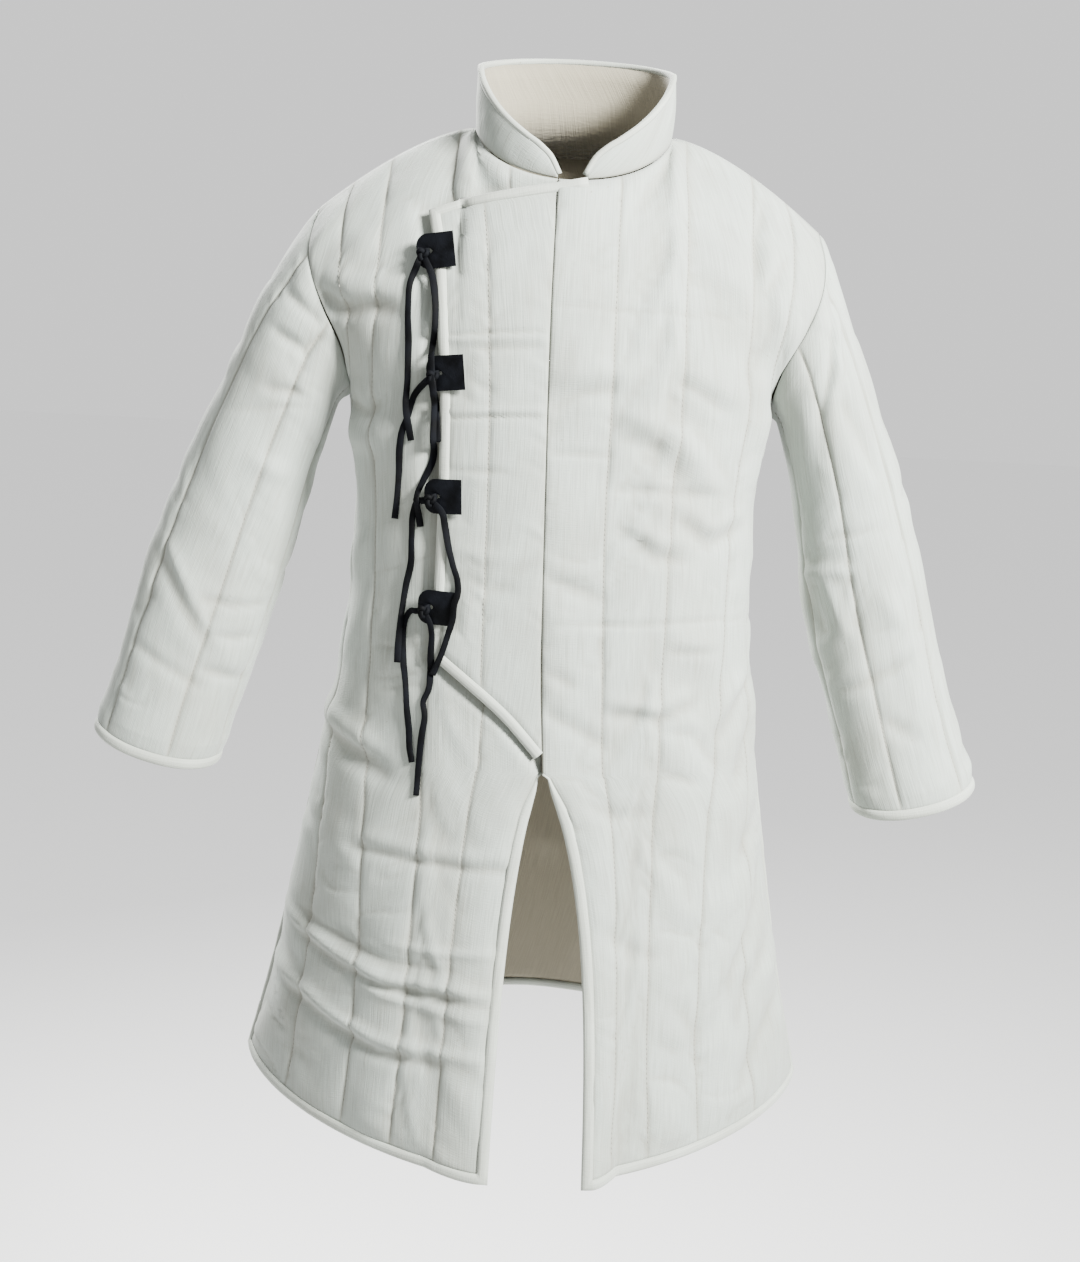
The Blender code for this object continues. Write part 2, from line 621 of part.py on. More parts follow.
def place_bindings(name, grid, normals, base):
    """Binds the hem and the edges of the slits, and of the vent on a front panel."""
    last_row, last = grid.shape[0] - 1, grid.shape[1] - 1

    def width_at(point):
        top = VENT_TOP if abs(point[0]) < 0.1 and name != "back" else SLIT_TOP
        return edge_width(point[2], top) - 0.0002 - 0.0020 * ramp(point[2] - top, -0.02, 0)

    hem = [(last_row, c) for c in range(last + 1)]
    if name == "back":
        run = ([(r, 0) for r in range(SLIT_ROW, last_row)] + hem
               + [(r, last) for r in range(last_row - 1, SLIT_ROW - 1, -1)])
    else:
        run = ([(r, 0) for r in range(VENT_ROW, last_row)] + hem
               + [(r, last) for r in range(last_row - 1, SLIT_ROW - 1, -1)])
    bind_run(name + "_binding", grid, normals, base, run, width_at)


def make_overlap():
    """The flap: from its bound left edge to the front seam."""
    u = between(np.array([0, FLAP_LINE, 1.0]), PER_CHANNEL)
    w = np.linspace(0, 1, 18)
    left_inset = 0.010
    rows = []
    for share in w:
        x = -0.125 + 0.125 * u
        for _ in range(6):
            top = smooth(x, FLAP_TOP["x"], FLAP_TOP["z"]) - left_inset
            foot = smooth(x, FLAP_FOOT["x"], FLAP_FOOT["z"]) + left_inset * 1.25
            z = top + (foot - top) * share
            low, high = flap_left(z) + left_inset, seam_x(z) - 2 * GAP
            x = low + (high - low) * u
        rows.append(np.stack([x, front_y(x, z), z], 1))
    grid = np.array(rows)
    normals = normals_of(grid)
    lift = crown_of(grid, channel_rise(grid.shape[1], PER_CHANNEL, crown=0.005)) + FLAP_LIFT
    base = np.full(lift.shape, FLAP_LIFT)
    padded("overlap", grid, normals, lift, base)
    last_row, last = grid.shape[0] - 1, grid.shape[1] - 1
    run = ([(0, c) for c in range(last, -1, -1)] + [(r, 0) for r in range(1, last_row + 1)]
           + [(last_row, c) for c in range(1, last + 1)])
    bind_run("overlap_binding", grid, normals, base, run, lambda point: BINDING - GAP)


def collar_ring(turn, level):
    """Point of the collar at a share of the way round, and height above the neckline."""
    start = math.asin(COLLAR_START / NECK_HALF)
    angle = start + (2 * math.pi - 2 * start) * turn
    x = -NECK_HALF * math.copysign(abs(math.sin(angle)) ** (2 / 2.2), math.sin(angle))
    share = abs(math.cos(angle)) ** (2 / 2.2)
    front = math.cos(angle) > 0
    y = -NECK_FRONT * share if front else NECK_BACK * share
    z = -NECK_DIP * share ** 1.3 if front else NECK_RISE * share ** 1.3
    lean = 0 if front else 0.10 * level
    return np.array([x, y + lean, z + COLLAR_GAP + level])


def collar_height(turn):
    """Height of the collar at a share of the way round, the same on both sides."""
    return smooth(min(turn, 1 - turn), COLLAR["turn"], COLLAR["height"])


def make_collar():
    """The standing collar and the binding along its top."""
    even = np.linspace(0, 1, COLLAR_COLUMNS + 1)
    turns = 0.65 * even + 0.35 * (0.5 - 0.5 * np.cos(even * math.pi))
    rim = 0.007
    grid = np.array([[collar_ring(t, (collar_height(t) - rim) * v) for t in turns]
                     for v in (1.0, 0.66, 0.33, 0)])
    normals = normals_of(grid)
    normals[..., 2] = 0
    normals /= np.linalg.norm(normals, axis=2, keepdims=True)
    inner = (grid - normals * COLLAR_WALL)[[0, 3]]
    wall("collar", grid, inner)
    edge = grid[0]
    down = np.tile([0, 0, -1.0], (len(turns), 1))
    rims = np.full(len(turns), rim)
    bind("collar_binding", edge - normals[0] * (COLLAR_WALL - WALL) / 2, down, normals[0], rims, 0.0038)


def make_sleeve(side, grid, normals):
    """A sleeve's wall and the binding round its cuff."""
    name = "sleeve_left" if side > 0 else "sleeve_right"
    rise = channel_rise(SLEEVE_COLUMNS, 4, FIRST_SLEEVE_LINE)
    lift = crown_of(grid, rise, closed=True) * clear_of_armpit(grid)
    padded(name, grid, normals, lift, closed=True)
    edge = grid[-1]
    inward = grid[-2] - grid[-1]
    ring(("cuff_left" if side > 0 else "cuff_right") + "_binding", edge, inward, normals[-1])


def ring(name, edge, inward, normals):
    """A closed bound edge round a cuff."""
    bm = bmesh.new()
    rings = []
    half, w = BINDING_HALF, BINDING
    for point, into, up in zip(edge, inward, normals):
        out = -into / np.linalg.norm(into)
        middle = point - up * WALL / 2
        section = ((BIND_GAP, half), (0.6 * w, half), (w, 0.45 * half),
                   (w, -0.45 * half), (0.6 * w, -half), (BIND_GAP, -half))
        rings.append([bm.verts.new(middle + out * a + up * b) for a, b in section])
    for a, b in zip(rings, rings[1:] + rings[:1]):
        for k in range(6):
            bm.faces.new((a[k], a[(k + 1) % 6], b[(k + 1) % 6], b[k]))
    return finish(name, bm, "binding")


def tree_of(names):
    """The named objects as one tree for finding where a line meets them."""
    bm = bmesh.new()
    for name in names:
        bm.from_mesh(bpy.data.objects[name].data)
    tree = BVHTree.FromBMesh(bm)
    bm.free()
    return tree


def surface(tree, x, z):
    """First point met by a line that runs straight back at this place, seen from the front."""
    hit, _, _, _ = tree.ray_cast(Vector((x, -1, z)), Vector((0, 1, 0)))
    return hit


def tab_outline():
    """A tab seen from the front: square at its sewn end, with two rounded corners at its free end."""
    w, h, r = TAB_WIDTH / 2, TAB_HEIGHT / 2, 0.010
    points = [(w, -h), (w, h)]
    for centre, start in (((-w + r, h - r), 90), ((-w + r, -h + r), 180)):
        for step in range(5):
            angle = math.radians(start + step * 22.5)
            points.append((centre[0] + r * math.cos(angle), centre[1] + r * math.sin(angle)))
    return points


def make_tab(number, x, z, tree):
    """A flat leather tab lying on the flap, and the hard knot at its free end."""
    rest = surface(tree, x + 0.008, z).y
    lean = (surface(tree, x + 0.016, z).y - surface(tree, x, z).y) / 0.016
    slope = (surface(tree, x + 0.008, z + 0.014).y - surface(tree, x + 0.008, z - 0.014).y) / 0.028
    lean, slope = np.clip(lean, -0.5, 0.2), np.clip(slope, -0.3, 0.3)
    outline = tab_outline()

    def plane(px, pz):
        return rest + lean * (px - x - 0.008) + slope * (pz - z)

    clear = 0
    for px in np.linspace(x - TAB_WIDTH / 2, x + TAB_WIDTH / 2, 7):
        for pz in np.linspace(z - TAB_HEIGHT / 2, z + TAB_HEIGHT / 2, 7):
            clear = max(clear, plane(px, pz) - surface(tree, px, pz).y)
    bm = bmesh.new()
    back, front = [], []
    for px, pz in outline:
        y = plane(x + px, z + pz) - clear - GAP
        back.append(bm.verts.new((x + px, y, z + pz)))
        front.append(bm.verts.new((x + px, y - TAB_THICK, z + pz)))
    bm.faces.new(back)
    bm.faces.new(front[::-1])
    for k in range(len(back)):
        m = (k + 1) % len(back)
        bm.faces.new((back[k], front[k], front[m], back[m]))
    finish(f"tab_{number}", bm, "leather")


def make_knot(number, x, z, tree):
    """The lace's knot, drawn up against the tab's free end: an uneven pebble. Returns its middle."""
    bm = bmesh.new()
    bmesh.ops.create_uvsphere(bm, u_segments=10, v_segments=7, radius=KNOT)
    middle = Vector((x - 0.012, -0.5, z - 0.004))
    for vert in bm.verts:
        vert.co.x *= 1.25
        vert.co.y *= 0.92
        vert.co += middle
    gap = min(surface(tree, vert.co.x, vert.co.z).y - vert.co.y for vert in bm.verts)
    for vert in bm.verts:
        vert.co.y += gap - GAP
    middle.y += gap - GAP
    finish(f"knot_{number}", bm, "leather")
    return middle


def knot_exit(middle, towards, knot):
    """Where a lace leaves its knot: as near to the knot as the lace's own flat end lets it come."""
    away = (towards - middle).normalized()
    across = away.orthogonal().normalized()
    up = away.cross(across)
    place = middle
    for step in range(150):
        place = middle + away * step * 0.0001
        rim = [place + (across * math.cos(turn) + up * math.sin(turn)) * LACE / 2
               for turn in np.arange(12) * math.pi / 6]
        heights = []
        for spot in rim + [place]:
            near, normal, _, _ = knot.find_nearest(spot)
            heights.append((spot - near).dot(normal))
        if min(heights) > GAP:
            break
    return place


def lace_route(points, middle, knot, tree, others):
    """The lace's route: from its knot through its points, laid just clear of what hangs behind it."""
    points = np.array([(middle.x, middle.z)] + points)
    run = np.concatenate([[0], np.cumsum(np.linalg.norm(np.diff(points, axis=0), axis=1))])
    count = max(6, int(run[-1] / (2.4 * LACE)) + 1)
    at = np.linspace(0, run[-1], count)
    xs, zs = smooth(at, run, points[:, 0]), smooth(at, run, points[:, 1])
    clear = LACE / 2 + 0.0006
    reach = LACE * 1.1
    depths = []
    for x, z in zip(xs, zs):
        spots = reach * np.array([-1, -0.5, 0, 0.5, 1])
        near = [surface(tree, x + dx, z + dz).y for dx in spots for dz in spots * 1.3]
        beside = others[np.hypot(others[:, 0] - x, others[:, 2] - z) < 2.2 * LACE]
        if len(beside):
            near.append(beside[:, 1].min() - LACE / 2 - GAP)
        depths.append(min(near) - clear)
    depths = np.array(depths)
    depths[0] = middle.y
    for _ in range(4):
        eased = depths.copy()
        eased[1:-1] = (depths[:-2] + depths[1:-1] * 2 + depths[2:]) / 4
        depths[1:] = np.minimum(depths, eased)[1:]
    route = np.stack([xs, depths, zs], 1)
    route[0] = knot_exit(middle, Vector(route[1]), knot)
    return route


def make_lace(name, route):
    """One end of a lace: a limp cord along its route."""
    curve = bpy.data.curves.new(name, "CURVE")
    curve.dimensions = "3D"
    curve.bevel_depth = LACE / 2
    curve.bevel_resolution = 2
    curve.use_fill_caps = True
    spline = curve.splines.new("POLY")
    spline.points.add(len(route) - 1)
    for point, place in zip(spline.points, route):
        point.co = (*place, 1)
    obj = bpy.data.objects.new(name, curve)
    dress(obj, "leather")


for old in list(bpy.data.objects):
    bpy.data.objects.remove(old)
garment = bpy.data.collections.new("gambeson")
bpy.context.scene.collection.children.link(garment)

torso = make_torso()
sleeves = {}
for side in (-1, 1):
    sleeve = make_sleeve_grid(side, torso)
    sleeve_normals = normals_of(sleeve, closed=True)
    mitre_armhole(side, torso, sleeve_normals)
    sleeves[side] = (sleeve, sleeve_normals)
make_panels(torso)
for side, (sleeve, sleeve_normals) in sleeves.items():
    make_sleeve(side, sleeve, sleeve_normals)
make_overlap()
make_collar()

cloth = ["front_right", "front_left", "overlap", "overlap_binding", "front_right_binding"]
front_tree = tree_of(cloth)
knots = {}
for number, (x, z) in enumerate(zip(TABS["x"], TABS["z"]), 1):
    make_tab(number, x, z, front_tree)
    knots[number] = make_knot(number, x, z, tree_of(cloth + [f"tab_{number}"]))
fittings = [f"{kind}_{n}" for kind in ("tab", "knot") for n in (1, 2, 3, 4)]
laid = np.zeros((1, 3))
for name, points in LACES.items():
    number = int(name.split("_")[1])
    knot = f"knot_{number}"
    behind = tree_of(cloth + [fitting for fitting in fittings if fitting != knot])
    route = lace_route(points, knots[number], tree_of([knot]), behind, laid)
    make_lace(name, route)
    laid = np.concatenate([laid, route, (route[1:] + route[:-1]) / 2])
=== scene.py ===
"""Gambeson: the looks of the quilted coat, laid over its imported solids.

The same form as the part's source is worked out on a fine grid: quilted channels, puckers along
their stitch lines, folds, bound edges, leather tabs and flat laces. Metres, +Z up, front towards -Y.
"""
import math

import bmesh
import bpy
import numpy as np
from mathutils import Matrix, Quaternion, Vector
from mathutils.bvhtree import BVHTree


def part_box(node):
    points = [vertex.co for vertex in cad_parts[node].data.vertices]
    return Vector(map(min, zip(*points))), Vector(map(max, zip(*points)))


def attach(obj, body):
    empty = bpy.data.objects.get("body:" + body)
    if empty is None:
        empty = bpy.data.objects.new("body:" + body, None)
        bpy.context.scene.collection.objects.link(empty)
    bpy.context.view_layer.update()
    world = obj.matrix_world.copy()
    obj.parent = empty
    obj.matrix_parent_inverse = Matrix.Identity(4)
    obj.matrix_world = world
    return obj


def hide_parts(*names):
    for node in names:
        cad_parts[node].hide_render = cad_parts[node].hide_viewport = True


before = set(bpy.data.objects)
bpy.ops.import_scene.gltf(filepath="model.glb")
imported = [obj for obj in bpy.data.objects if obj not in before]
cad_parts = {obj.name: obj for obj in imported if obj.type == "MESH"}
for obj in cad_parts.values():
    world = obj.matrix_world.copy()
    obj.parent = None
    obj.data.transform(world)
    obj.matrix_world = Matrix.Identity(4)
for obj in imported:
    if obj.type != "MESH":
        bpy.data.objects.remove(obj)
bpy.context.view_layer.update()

# The photograph's camera, in the row frame.
CAMERA_PLACE = (-0.0078, -1.70, -0.15)
CAMERA_PITCH = 11.787
CAMERA_ROLL = 3.0
CAMERA_LENS = 47.07
CAMERA_SENSOR = 36
FLOOR_Z = -3.0
WORLD_LIGHT = 1.05

# The coat's form, as in the part's source.
GAP = 0.0003
SEAM_GAP = 0.0008
WALL = 0.004
ROUND = 2.5  # squareness of the body's sections
BINDING = 0.010  # width of a bound edge
BINDING_HALF = 0.0042
BINDING_NARROW = 0.003  # its width where an opening begins
BINDING_TUCK = 0.0012  # how far it reaches in over the panel
NECK_HALF = 0.097
NECK_FRONT = 0.085
NECK_BACK = 0.075
NECK_DIP = 0.050
NECK_RISE = 0.015
NECK_SQUARE = 2.2  # squareness of the neck's outline
NECK_FALL = 1.3  # how late the neckline starts to fall towards the middle
NECK_FACING = 0.036  # how far the collar's lining runs down inside the back
SHOULDER_X = 0.250
SHOULDER_DROP = 1.41
ARMPIT_X = 0.2135
ARMPIT_Z = -0.268
VENT_TOP = -0.612
VENT_X = 0.002
VENT_GAP = 0.0012
SLIT_TOP = -0.620
SLIT_SPREAD = 0.006
HEM_Z = -0.985


def table(names, *rows):
    """Rows of numbers as one array for each named column."""
    columns = zip(*rows)
    return {name: np.array(column, float) for name, column in zip(names.split(), columns)}


BODY = table(
    "side_z front_z back_z half_width front_depth back_depth square",
    (-0.268, -0.268, -0.268, 0.2135, 0.140, 0.125, 2.5),
    (-0.345, -0.345, -0.345, 0.203, 0.143, 0.122, 2.5),
    (-0.471, -0.471, -0.471, 0.207, 0.147, 0.122, 2.5),
    (-0.602, -0.603, -0.602, 0.222, 0.155, 0.130, 2.3),
    (-0.736, -0.744, -0.735, 0.244, 0.178, 0.146, 2.0),
    (-0.875, -0.892, -0.872, 0.271, 0.207, 0.163, 1.75),
    (-0.985, -1.014, -0.981, 0.298, 0.232, 0.178, 1.6),
)
# Distance of each quilting line from the front edge, as a share of the half front.
FRONT_LINES = table("top_x chest hem", (0, 0, 0), (0.053, 0.184, 0.207), (0.112, 0.403, 0.353),
                    (0.178, 0.670, 0.514), (0.215, 0.870, 0.740), (0.250, 1, 1))
BACK_LINES = table("top_x chest hem", (0, 0, 0), (0.032, 0.115, 0.090), (0.097, 0.345, 0.270),
                   (0.160, 0.580, 0.470), (0.210, 0.810, 0.720), (0.250, 1, 1))
ARMHOLE = table("share x front back", (0, 0.250, 0, 0), (0.15, 0.2535, 0.031, 0.031),
                (0.35, 0.248, 0.060, 0.058), (0.5, 0.237, 0.068, 0.066), (0.75, 0.216, 0.059, 0.057),
                (0.9, 0.2115, 0.041, 0.040), (1, 0.2135, 0, 0))
SLEEVE = "outer_x outer_z inner_x inner_z half_depth middle_y dip"
SLEEVES = {
    -1: table(SLEEVE, (0.250, -0.087, 0.2135, -0.268, 0.068, 0, 0),
              (0.307, -0.178, 0.226, -0.284, 0.073, 0, 0),
              (0.364, -0.302, 0.247, -0.349, 0.066, -0.005, 0),
              (0.413, -0.429, 0.280, -0.477, 0.064, -0.016, 0),
              (0.447, -0.553, 0.318, -0.592, 0.058, -0.032, 0.002),
              (0.464, -0.608, 0.331, -0.644, 0.056, -0.042, 0.006)),
    1: table(SLEEVE, (0.250, -0.087, 0.2135, -0.268, 0.068, 0, 0),
             (0.290, -0.172, 0.225, -0.284, 0.073, 0, 0),
             (0.341, -0.296, 0.244, -0.349, 0.066, -0.005, 0),
             (0.384, -0.419, 0.264, -0.467, 0.064, -0.016, 0),
             (0.422, -0.552, 0.303, -0.592, 0.058, -0.032, 0.002),
             (0.451, -0.624, 0.322, -0.660, 0.056, -0.042, 0.006)),
}
FLAP_LEFT = table("z x", (-0.075, -0.137), (-0.120, -0.127), (-0.168, -0.121), (-0.260, -0.113),
                  (-0.340, -0.111), (-0.420, -0.111), (-0.507, -0.112))
FLAP_TOP = table("x z", (-0.137, -0.087), (-0.104, -0.0746), (-0.067, -0.0650), (-0.030, -0.0575),
                 (0.012, -0.0500))
FLAP_FOOT = table("x z", (-0.112, -0.507), (-0.072, -0.537), (-0.032, -0.570), (0.002, -0.607))
SEAM = table("z x", (-0.050, -0.0125), (-0.162, -0.0128), (-0.329, -0.0096), (-0.543, -0.0024),
             (-0.612, 0.002))
FLAP_LIFT = 0.0065
FLAP_SEAT = 0.005  # how far the right front sinks beneath the flap
FLAP_LINE = 0.415  # place of the flap's quilting line, as a share of its width
FLAP_WIDTH = 0.125
FLAP_INSET = 0.010  # how far the flap's cloth stops inside its bound outline
FLAP_TAIL = 0.030  # how far the flap's top binding runs on past the seam
FLAP_TAIL_LIFT = 0.0022
SLEEVE_INSET = 0.004  # how far inside the measured outline the stitched-down cloth lies
VENT_SPREAD = {1: 0.060, -1: -0.033}
VENT_CURL = 0.12
FULLER = 0.030  # how much wider the skirt hangs on the wearer's right than on the left
SEAM_REACH = 0.095  # the front seam's curve fades out over this width
COLLAR = table("turn height", (0, 0.007), (0.012, 0.020), (0.030, 0.029), (0.055, 0.035), (0.10, 0.043),
               (0.17, 0.053), (0.24, 0.060), (0.34, 0.062), (0.5, 0.063))
COLLAR_WALL = 0.005
COLLAR_START = 0.0115
COLLAR_GAP = 0.0013
COLLAR_RIM = 0.0045
COLLAR_LEAN = 0.10  # how far back the collar leans behind, for each metre up

# How fine the grids are.
PER_CHANNEL = 14
ARM_ROWS = 66
WAIST_ROWS = 96
SKIRT_ROWS = 104
FLAP_ROWS = 200
SLEEVE_LINES = 6
SLEEVE_PER_CHANNEL = 18
SLEEVE_ROWS = 150
FIRST_SLEEVE_LINE = 0.125  # share of the way round from the sleeve's top to its first quilting line

# How the padding swells between the lines, and how it wrinkles.
CROWN = 0.0026
GROOVE_REACH = 0.0022  # how soon the padding rises beside a stitched line
WAVES = 0.0035
PUCKER = 0.0017
FOLD_DEPTH = 1.85  # every rise in the table of folds is multiplied by this
FOLD_CAP = 0.008  # the folds together rise or sink no further than this
CLUSTER = 0.72  # how much closer the columns stand beside a quilting line

TABS = table("x z", (-0.1245, -0.122), (-0.1090, -0.234), (-0.1065, -0.350), (-0.1085, -0.457))
TAB_WIDTH = 0.036
TAB_HEIGHT = 0.033
HOLE_SIDE = -0.0050
HOLE = 0.0024
TAB_TURN = (9.0, 6.5, 3.0, 0.0)  # degrees, anticlockwise from the front
TAB_HALF_THICK = 0.0011
TAB_BEVEL = 0.0004
TAB_CORNER = 0.0105
STRAP_THICK = 0.0019
STRAP_WIDTH = 0.0062
KNOT = 0.0019  # size of the knot's winding
KNOT_DEPTH = 0.0030  # how far its middle stands off what it rests on
LACE_START = 0.004  # where a lace comes out of its knot
LACE_STEP = 0.0022
LACE_CLEAR = 0.0004
LACE_EASING = 14
# Routes of the hanging lace ends, as in the solids.
LACES = {
    "lace_4_short": [(-0.133, -0.463), (-0.138, -0.470), (-0.141, -0.482), (-0.141, -0.495),
                     (-0.139, -0.516), (-0.136, -0.540), (-0.134, -0.563), (-0.131, -0.585),
                     (-0.130, -0.600), (-0.127, -0.614)],
    "lace_4_long": [(-0.114, -0.472), (-0.112, -0.482), (-0.112, -0.501), (-0.112, -0.524),
                    (-0.113, -0.539), (-0.118, -0.553), (-0.116, -0.566), (-0.118, -0.585),
                    (-0.120, -0.616), (-0.121, -0.646)],
    "lace_3_short": [(-0.131, -0.357), (-0.135, -0.367), (-0.136, -0.392), (-0.136, -0.419),
                     (-0.140, -0.440), (-0.143, -0.465), (-0.145, -0.498), (-0.145, -0.515)],
    "lace_3_long": [(-0.107, -0.364), (-0.103, -0.380), (-0.099, -0.398), (-0.094, -0.415),
                    (-0.089, -0.430), (-0.088, -0.440), (-0.091, -0.451), (-0.092, -0.466),
                    (-0.096, -0.482), (-0.101, -0.500), (-0.107, -0.516), (-0.110, -0.524)],
    "lace_2_long": [(-0.131, -0.247), (-0.138, -0.256), (-0.144, -0.277), (-0.149, -0.291),
                    (-0.151, -0.307), (-0.151, -0.331), (-0.152, -0.352), (-0.154, -0.377)],
    "lace_2_short": [(-0.119, -0.253), (-0.116, -0.273), (-0.114, -0.299)],
    "lace_1_short": [(-0.141, -0.136), (-0.147, -0.152), (-0.148, -0.175), (-0.146, -0.211),
                     (-0.146, -0.240), (-0.146, -0.270), (-0.143, -0.286), (-0.140, -0.300)],
    "lace_1_long": [(-0.127, -0.144), (-0.122, -0.167), (-0.121, -0.189), (-0.123, -0.212),
                    (-0.122, -0.234), (-0.119, -0.257), (-0.118, -0.289), (-0.119, -0.319),
                    (-0.127, -0.338), (-0.132, -0.351), (-0.131, -0.363), (-0.128, -0.382)],
}

